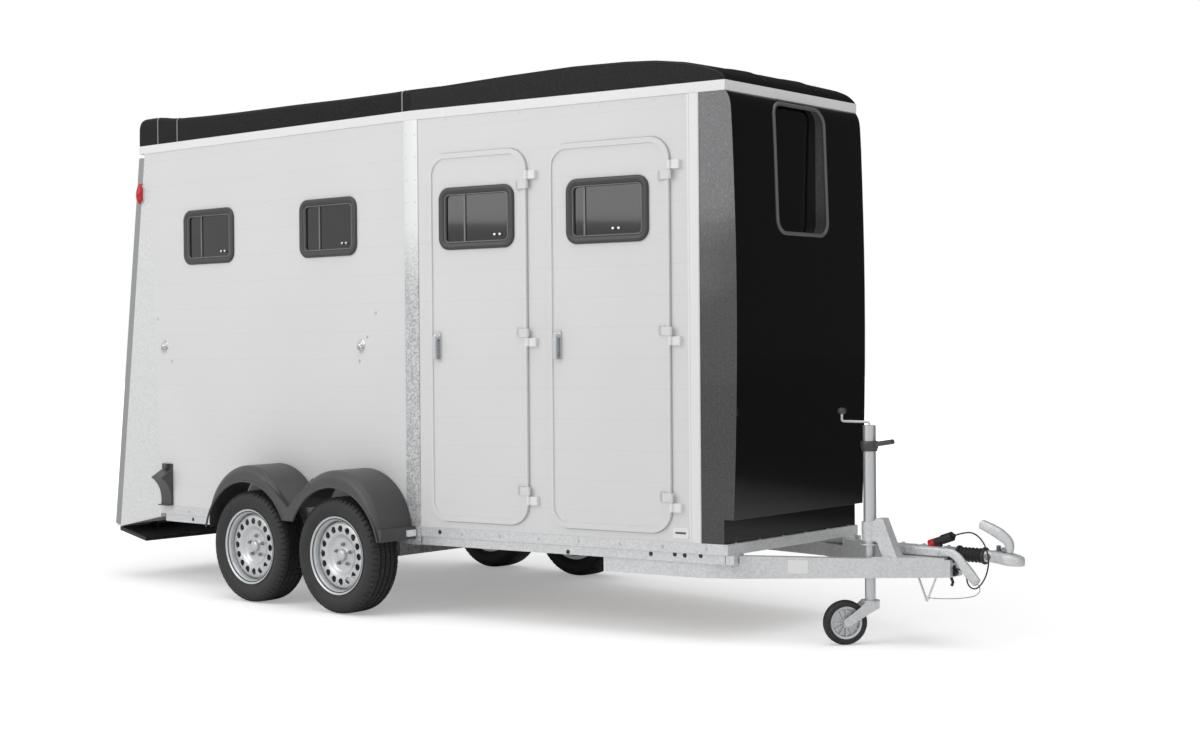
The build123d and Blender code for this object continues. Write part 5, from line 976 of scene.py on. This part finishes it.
def head_part():
    """Section = superellipse between the row's foot and crown heights and its half width."""
    rows = np.array(HEAD_ROWS, float)
    x = np.linspace(rows[0, 0], rows[-1, 0], 60)
    half, low, high = (np.interp(x, rows[:, 0], rows[:, k]) for k in (1, 2, 3))
    c, q = squared_circle(32, 0.5)
    y = half[:, None] * c
    z = ((low + high) / 2)[:, None] + ((high - low) / 2)[:, None] * q
    return capped(np.stack([FRONT_X + x[:, None] + 0 * y, y, z], axis=-1) * MM)


head = make_piece("coupling_shell", [head_part()], "coupling_head", *STEEL, 50)
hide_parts("coupling_head")
cross_bolts = [lathe(Place((FRONT_X + 1056, side * 28.5, SHAFT_Z), (-side, 0, 0), (0, 0, 1)), CROSS_BOLT, 6)
               for side in (-1, 1)]
make_piece("coupling_bolts", cross_bolts + [lathe(spot(1096, 0, 458), SPRING, 16)], "coupling_head",
           *DARK_STEEL)
linkage = [slab(spot(730, -42, SHAFT_Z, FACING_RIGHT), rounded(210, 24, 11), 5.0)]
linkage += studs([spot(at, -47, SHAFT_Z, FACING_RIGHT) for at in (650, 810)], BOLT, 24)
linkage += studs([spot(at, y, 464) for at in (590, 700, 830) for y in (-26, 26)], BOLT, 24)
make_piece("housing_bolts", linkage, "overrun_device", *STEEL)
brake_parts = [lathe(spot(at, -y, z, FACING_RIGHT),
                     ((0, 12), (r - 3, 12), (r, 9), (r, -9), (r - 3, -12), (0, -12)), 20)
               for at, y, z, r in ((862, 18, 372, 22), (884, 20, 350, 16), (872, 20, 410, 17))]
brake_parts.append(tube(((FRONT_X + 850, -26, 360), (FRONT_X + 870, -30, 330), (FRONT_X + 880, -30, 306),
                         (FRONT_X + 872, -28, 290)), 7.0, 10))
make_piece("overrun_brake_parts", brake_parts, "overrun_device", "black_paint", black_paint)
make_piece("coupling_indicator", [slab(spot(1130, 0, 462), rounded(34, 30, 6), 18.0, 3.0)], "coupling_head",
           *DARK_STEEL)
make_piece("gaiter_clips", studs([spot(at, 0, SHAFT_Z, FACING_AHEAD) for at in (892, 1022)], CLIP, 24),
           "coupling_bellows", "rubber", black_paint)

# %% [markdown]
# The jockey stand is a bright tube in a clamp. Its crank is a bent rod with a dark knob, a plastic
# collar holds its lever, and the small wheel has a ribbed rim in a broad rubber tyre.

# %% Crank, collar and the small wheel
JOCKEY_AHEAD, JOCKEY_Y = 508.0, -143.0
CRANK = ((0, 1024), (0, 1036), (-3, 1041), (-8, 1043), (-142, 1043), (-148, 1046), (-150, 1052), (-150, 1086))
CRANK_KNOB = ((0, 0), (12, 0), (19, 5), (21, 14), (19, 23), (12, 28), (0, 30))
COLLAR = ((30, 0), (37, 0), (38, 12), (41, 16), (41, 44), (38, 48), (30, 48))
FLANGE = ((30, 0), (44, 0), (45, 3), (44, 6), (30, 6))
SMALL_TYRE = ((76, -23), (80, -27), (94, -27), (102, -20), (105, -8), (105, 8), (102, 20), (94, 27), (80, 27),
              (76, 23))
SMALL_RIM = ((9, -29), (22, -29), (24, -9), (60, -7), (66, -20), (76, -23), (76, 23), (66, 20), (60, 7),
             (24, 9), (22, 29), (9, 29))
SMALL_RADIUS, TRAIL, RIBS = 105.0, 125.0, 12
crank_line = [(FRONT_X + JOCKEY_AHEAD + ahead, JOCKEY_Y, z) for ahead, z in CRANK]
crank = make_piece("crank_rod", [tube(crank_line, 6.0, 12)], "jockey_crank", *STEEL)
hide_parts("jockey_crank")
knob = make_piece("crank_knob", [lathe(spot(JOCKEY_AHEAD - 150, JOCKEY_Y, 1078), CRANK_KNOB)], "jockey_grip",
                  "rubber", moulded)
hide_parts("jockey_grip")
lever_place = Place((FRONT_X + JOCKEY_AHEAD + 76, JOCKEY_Y - 15, 946), (1, 0, 0.16), (-0.16, 0, 1))
collar = [lathe(spot(JOCKEY_AHEAD, JOCKEY_Y, 906), COLLAR, 32),
          slab(lever_place, rounded(96, 22, 9), -30.0, -3.0)]
make_piece("jockey_collar", collar, "jockey_outer_tube", *PLASTIC)
make_piece("jockey_flange", [lathe(spot(JOCKEY_AHEAD, JOCKEY_Y, 466), FLANGE, 32)], "jockey_outer_tube",
           *STEEL)
turn = radians(50)
trail = np.array((-cos(turn), -sin(turn), 0))
small_middle = np.array((FRONT_X + JOCKEY_AHEAD, JOCKEY_Y, SMALL_RADIUS)) + TRAIL * trail
small_hub = Place(small_middle, -trail, (0, 0, 1))
rubber = make_piece("jockey_road_tyre", [lathe(small_hub, SMALL_TYRE, 64, closed=True)], "jockey_tyre",
                    "rubber", tyre_rubber)
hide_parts("jockey_tyre")
rim_parts = [lathe(small_hub, SMALL_RIM, 64, closed=True)]
for k in range(RIBS):
    angle = 2 * pi * k / RIBS
    out_dir = cos(angle) * small_hub.along + sin(angle) * small_hub.up
    rib = Place(small_hub.middle + 43 * out_dir - 20 * small_hub.out, out_dir,
                np.cross(small_hub.out, out_dir))
    rim_parts.append(slab(rib, rounded(46, 5, 2, 3), 40.0, 0.8))
small_rim = make_piece("jockey_ribbed_rim", rim_parts, "jockey_wheel", *LACQUER)
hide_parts("jockey_wheel")

# %% [markdown]
# ## Small things round the frame
# The ramp has an aluminium edge profile, the front sill carries a row of bolts, and folded brackets
# join the drawbar's beams to the lower rails. The plate on the beam is left blank.

# %% Ramp edges, brackets and plates
RAMP_LOW, RAMP_HIGH, RAMP_MIDDLE, RAMP_TALL = (4465, 315), (4176, 2604), (4322.0, 808.0, 1450.0), 2270
LEAN = atan2(RAMP_LOW[0] - RAMP_HIGH[0], RAMP_HIGH[1] - RAMP_LOW[1])
ramp_dir = np.array((sin(LEAN), 0, cos(LEAN)))
ramp_out = np.array((-cos(LEAN), 0, sin(LEAN)))
edge_parts = []
for side in (-1, 1):
    middle = np.array((FRONT_X - RAMP_MIDDLE[0], side * RAMP_MIDDLE[1], RAMP_MIDDLE[2])) + 30 * ramp_out
    edge_parts.append(slab(Place(middle, side * ramp_out, ramp_dir), rounded(52, RAMP_TALL, 3, 3), 9.0, 0.8))
make_piece("ramp_edge_profiles", edge_parts, "ramp", "aluminium_plank", channel_light)
SCREW = ((0, 5), (5, 4.4), (8, 2.4), (8.8, 0))
make_piece("front_sill_bolts", studs([spot(-9, y, 470) for y in np.arange(-500, 501, 200.0)], SCREW),
           "chassis_frame", *STEEL)
bracket_parts = []
for side in (-1, 1):
    bracket_parts.append(slab(spot(-8, side * 500.0, 373, FACING_AHEAD), rounded(110, 60, 3, 3) + (0, 16),
                              8.0))
    bracket_parts.append(slab(front_wall(side, -6, 396, -14.0), rounded(44, 44, 3, 3), 6.0))
make_piece("beam_brackets", bracket_parts, "chassis_frame", *STEEL)
BEAM_TURN = radians(26.5)
beam_along = np.array((cos(BEAM_TURN), sin(BEAM_TURN), 0))
plate_at = np.array((FRONT_X + 880, -58.0, 365)) - 700 * beam_along
make_piece("blank_beam_plate", [slab(Place(plate_at, beam_along, (0, 0, 1)), rounded(95, 62, 4), 0.8, 0.4)],
           "drawbar", "galvanised_steel", white_gelcoat)

# %% Floor behind the chassis, and the rubber mats
FLOOR_TOP, FLOOR_REAR, FLOOR_HALF = 488.0, 4436.0, 774.0


def flat_board(ahead, behind, half, top, thickness):
    """A level board from one distance behind the front to another, extruded down from its top."""
    return slab(spot(-(ahead + behind) / 2, 0, top - thickness), rounded(behind - ahead, 2 * half, 3, 3),
                thickness, 1.0)


rear_lip = slab(spot(-4428, 0, 437, FACING_BACK), rounded(1540, 62, 3, 3), 6.0, 0.8)
make_piece("rear_floor_plate", [flat_board(4052, FLOOR_REAR, FLOOR_HALF, FLOOR_TOP, 16.0), rear_lip],
           "rear_frame", "galvanised_steel", zinc_sheet)
make_piece("floor_mats", [flat_board(2014, FLOOR_REAR - 6, FLOOR_HALF - 8, FLOOR_TOP + 7, 6.5)],
           "floor_panel", *MATTING)
kick_parts = [slab(Place((FRONT_X - 3030, side * 793, 830), (side, 0, 0), (0, 0, 1)), rounded(1980, 640, 20),
                   5.0, 0.8) for side in (-1, 1)]
make_piece("kick_mats", kick_parts, "side_wall_right_rear", *MATTING)

# %% [markdown]
# ## Lamps and door edges
# The side lamps are domed lenses on a bright foot, and the tail lamps are low blocks. A dome is part of
# an ellipsoid: its height falls as the square root of what is left of the unit circle.

# %% Lamps
LAMP_Z = 2364


def dome(place, half_along, half_up, depth, turn=0.0):
    """Height = depth sqrt(1 - q^2) over an ellipse with half axes a and u; q runs from 0 to 1."""
    q = np.sin(np.linspace(0, pi / 2, 9))[:, None]
    t = angles(32)[None]
    a, u = half_along * q * np.cos(t), half_up * q * np.sin(t)
    turned = (a * cos(turn) - u * sin(turn), a * sin(turn) + u * cos(turn))
    height = depth * np.sqrt(np.clip(1 - q ** 2, 0, 1)) + 0 * a
    return surface(place.points(*turned, height), wrap_columns=True)


lens_parts, foot_parts = [], []
for side in (-1, 1):
    lens_parts.append(dome(rear_wall(side, 4212, LAMP_Z, 8.0), 28, 62, 26, side * LEAN))
    foot_parts.append(slab(rear_wall(side, 4208, LAMP_Z), rounded(50, 112, 24), 9.0))
    lens_parts.append(slab(spot(-4470, side * 760, 293, FACING_BACK), rounded(100, 18, 6), 12.0))
lenses = make_piece("lamp_lenses", lens_parts, "rear_lamps", "red_lens", red_lens)
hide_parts("rear_lamps")
make_piece("lamp_feet", foot_parts, "rear_lamps", *CHROMED)

# %% [markdown]
# Each door leaf has a rolled white edge, and a pale seal lies in the gap round it. The hinges' halves
# on the leaf are square blocks, set above or below the halves on the frame.

# %% Door edges, seals and hinge blocks
DOORS = (("rear_door", 1129.0, 1751.0), ("front_door", 299.0, 999.0))
DOOR_LOW, DOOR_HIGH, DOOR_CORNER = 508.0, 2412.0, 110.0
HINGE_BLOCKS = ((2249.0, -1), (1455.0, 1), (658.0, 1))
seal_parts = []
for door, ahead, behind in DOORS:
    middle = front_wall(-1, (ahead + behind) / 2, (DOOR_LOW + DOOR_HIGH) / 2)
    width, height = behind - ahead, DOOR_HIGH - DOOR_LOW

    def outline(grow, out):
        flat = rounded(width + 2 * grow, height + 2 * grow, DOOR_CORNER + grow, 12)
        return middle.points(flat[:, 0], flat[:, 1], np.full(len(flat), float(out))) / MM

    leaf = door + "_leaf"
    make_piece(door + "_rolled_edge", [tube(outline(-8, 6.0), 7.0, 10, closed=True)], leaf, *WHITE)
    seal_parts.append(tube(outline(3.5, -4.0), 4.5, 8, closed=True))
    blocks = [slab(front_wall(-1, ahead + 34, split + 27 * sign, 8.0), rounded(50, 46, 4, 3), 10.0)
              for split, sign in HINGE_BLOCKS]
    make_piece(door + "_hinge_blocks", blocks, leaf, "white_gelcoat", channel_pale)
make_piece("door_seals", seal_parts, "side_wall_right_front", "rubber", door_seal)
PLUG_LEAN = radians(20.0)
PLUG_AHEAD, PLUG_Z, PLUG_LENGTH = 776.0, 484.0, 104
plug_dir = np.array((cos(PLUG_LEAN), 0, sin(PLUG_LEAN)))
cap_place = Place(np.array((FRONT_X + PLUG_AHEAD, 0, PLUG_Z)) - 3 * plug_dir, (0, 1, 0),
                  (sin(PLUG_LEAN), 0, -cos(PLUG_LEAN)))
make_piece("plug_cap", [lathe(cap_place, ((0, 0), (15, 0), (19, 3), (19, 30), (18, 32), (0, 32)))],
           "power_plug", "moulded_plastic", red_plastic)

# %% [markdown]
# ## Cords
# The lighting cable loops forward over the coupling and back under it, and the breakaway cable hangs
# from the handbrake lever. Both follow the same points as the measured model, as control
# points of one smooth NURBS curve.

# %% The two cables


def past_plug(distance):
    """A point this far along the plug's own leaning line."""
    return PLUG_AHEAD + distance * cos(PLUG_LEAN), 0.0, PLUG_Z + distance * sin(PLUG_LEAN)


POWER_ROUTE = (past_plug(PLUG_LENGTH), past_plug(PLUG_LENGTH + 45), (985, -20, 542), (1052, -50, 500),
               (1082, -62, 422), (1064, -66, 340), (1015, -64, 283), (960, -46, 300), (950, -34, 372),
               (880, -34, 372))
BREAKAWAY_ROUTE = ((1015, -49, 310), (1033.6, -49, 289.07), (1012, -49, 258), (960, -53, 244),
                   (905, -64, 236), (848, -76, 232.5), (812, -80, 232), (785, -80, 232))


def cable(name, route, diameter, node_name, finish):
    """A NURBS curve of order 3 through its own end points, with a round bevel."""
    curve = bpy.data.curves.new(name, "CURVE")
    curve.dimensions = "3D"
    curve.bevel_depth = diameter / 2 * MM
    curve.bevel_resolution = 4
    curve.resolution_u = 16
    curve.use_fill_caps = True
    line = curve.splines.new("NURBS")
    line.points.add(len(route) - 1)
    for point, (ahead, y, z) in zip(line.points, route):
        point.co = ((FRONT_X + ahead) * MM, y * MM, z * MM, 1)
    line.order_u = 3
    line.use_endpoint_u = True
    obj = link(bpy.data.objects.new(name, curve))
    curve.materials.append(finish)
    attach(obj, body_of[node_name])
    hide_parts(node_name)
    return obj


cable("lighting_cable", POWER_ROUTE, 7.0, "power_cable", soft_rubber)
cable("breakaway_wire", BREAKAWAY_ROUTE, 3.0, "breakaway_cable", soft_rubber)

# %% [markdown]
# ## Camera
# The photograph was taken from the front right, from about 1.4 m up, with a fairly long lens. The
# camera's place, direction and roll were solved from the body's straight edges, and its small shift
# centres the frame as the photograph does.

# %% Camera from its solved numbers
CAMERA_AT = (6.496218, -7.306026, 1.403248)
AZIMUTH, DOWN, ROLL = radians(40.1793), radians(0.6755), radians(-0.4611)
FOCAL, CENTRE, WIDE, TALL = 1760.465, (587.875, 368.146), 1200, 754
ahead = Vector((-sin(AZIMUTH) * cos(DOWN), cos(AZIMUTH) * cos(DOWN), -sin(DOWN)))
right = ahead.cross(Vector((0, 0, 1))).normalized()
over = right.cross(ahead)
rolled_right = right * cos(ROLL) + over * sin(ROLL)
rolled_over = over * cos(ROLL) - right * sin(ROLL)
camera_data = bpy.data.cameras.new("camera")
camera_data.sensor_width = 36.0
camera_data.lens = FOCAL * 36 / WIDE
camera_data.shift_x = (WIDE / 2 - CENTRE[0]) / WIDE
camera_data.shift_y = (CENTRE[1] - TALL / 2) / WIDE
camera_data.clip_end = 200
camera = bpy.data.objects.new("camera", camera_data)
camera.matrix_world = Matrix.Translation(CAMERA_AT) @ Matrix(
    (rolled_right, rolled_over, -ahead)).transposed().to_4x4()
link(camera)
bpy.context.scene.camera = camera

# %% [markdown]
# ## Floor, background and light
# A white studio: the floor and the world are white for the camera, and one large soft lamp from above
# and one from the side light the trailer at a level where its colours render as they are written.
# Mirrored rays see a darker far side, so glossy surfaces keep the photograph's dark tones.

# %% Studio
floor_mesh = bpy.data.meshes.new("floor")
floor_mesh.from_pydata([(-60, -60, 0), (60, -60, 0), (60, 60, 0), (-60, 60, 0)], [], [(0, 1, 2, 3)])
floor = link(bpy.data.objects.new("floor", floor_mesh))
floor_finish, floor_tree, floor_shader = material("white_studio_floor", "#FFFFFF", 0.9)
floor_mesh.materials.append(floor_finish)
glow_rays = node(floor_tree, "ShaderNodeLightPath")
reach = node(floor_tree, "ShaderNodeVectorMath", {0: place_node(floor_tree)}, operation="LENGTH")
glow = span(floor_tree, reach.outputs["Value"], 4.0, 12.0, 0.32, 0.9)
seen_glow = maths(floor_tree, "MULTIPLY", glow, glow_rays.outputs["Is Camera Ray"])
far_side = span(floor_tree, coordinate(floor_tree, place_node(floor_tree), 1), 1.5, 5.0)
mirror_share = maths(floor_tree, "MULTIPLY", far_side, glow_rays.outputs["Is Glossy Ray"])
floor_colour = blend(floor_tree, mirror_share, (1, 1, 1, 1), (0.03, 0.03, 0.03, 1))
floor_tree.links.new(floor_colour, floor_shader.inputs["Base Color"])
floor_shader.inputs["Emission Color"].default_value = (1, 1, 1, 1)
floor_tree.links.new(seen_glow, floor_shader.inputs["Emission Strength"])

world = bpy.data.worlds.new("studio")
bpy.context.scene.world = world
world.use_nodes = True
tree = world.node_tree
background = tree.nodes["Background"]
background.inputs["Color"].default_value = (1, 1, 1, 1)
background.inputs["Strength"].default_value = 0.55
shown = node(tree, "ShaderNodeBackground", {"Color": (1, 1, 1, 1), "Strength": 1.0})
rays = node(tree, "ShaderNodeLightPath")
direction = node(tree, "ShaderNodeTexCoord").outputs["Generated"]
bright_side = span(tree, coordinate(tree, direction, 1), -0.1, 0.55, 0.95, 0.06)
mirrored = node(tree, "ShaderNodeBackground", {"Color": (1, 1, 1, 1), "Strength": bright_side})
gloss_mix = node(tree, "ShaderNodeMixShader", {0: rays.outputs["Is Glossy Ray"], 1: background.outputs[0],
                                               2: mirrored.outputs[0]})
mixer = node(tree, "ShaderNodeMixShader", {0: rays.outputs["Is Camera Ray"], 1: gloss_mix.outputs[0],
                                           2: shown.outputs[0]})
tree.links.new(mixer.outputs[0], tree.nodes["World Output"].inputs["Surface"])


def soft_lamp(name, place, target, size, power):
    """A square area lamp that looks at a point."""
    data = bpy.data.lights.new(name, "AREA")
    data.size = size
    data.energy = power
    lamp = link(bpy.data.objects.new(name, data))
    direction = Vector(target) - Vector(place)
    lamp.matrix_world = Matrix.Translation(place) @ direction.to_track_quat("-Z", "Y").to_matrix().to_4x4()


soft_lamp("key_from_the_side", (-3.0, -9.0, 5.5), (0, 0, 1.2), 6.0, 230)
soft_lamp("overhead", (1.0, -1.0, 8.5), (0, 0, 1.0), 7.0, 200)
bpy.context.scene.view_settings.view_transform = "Standard"
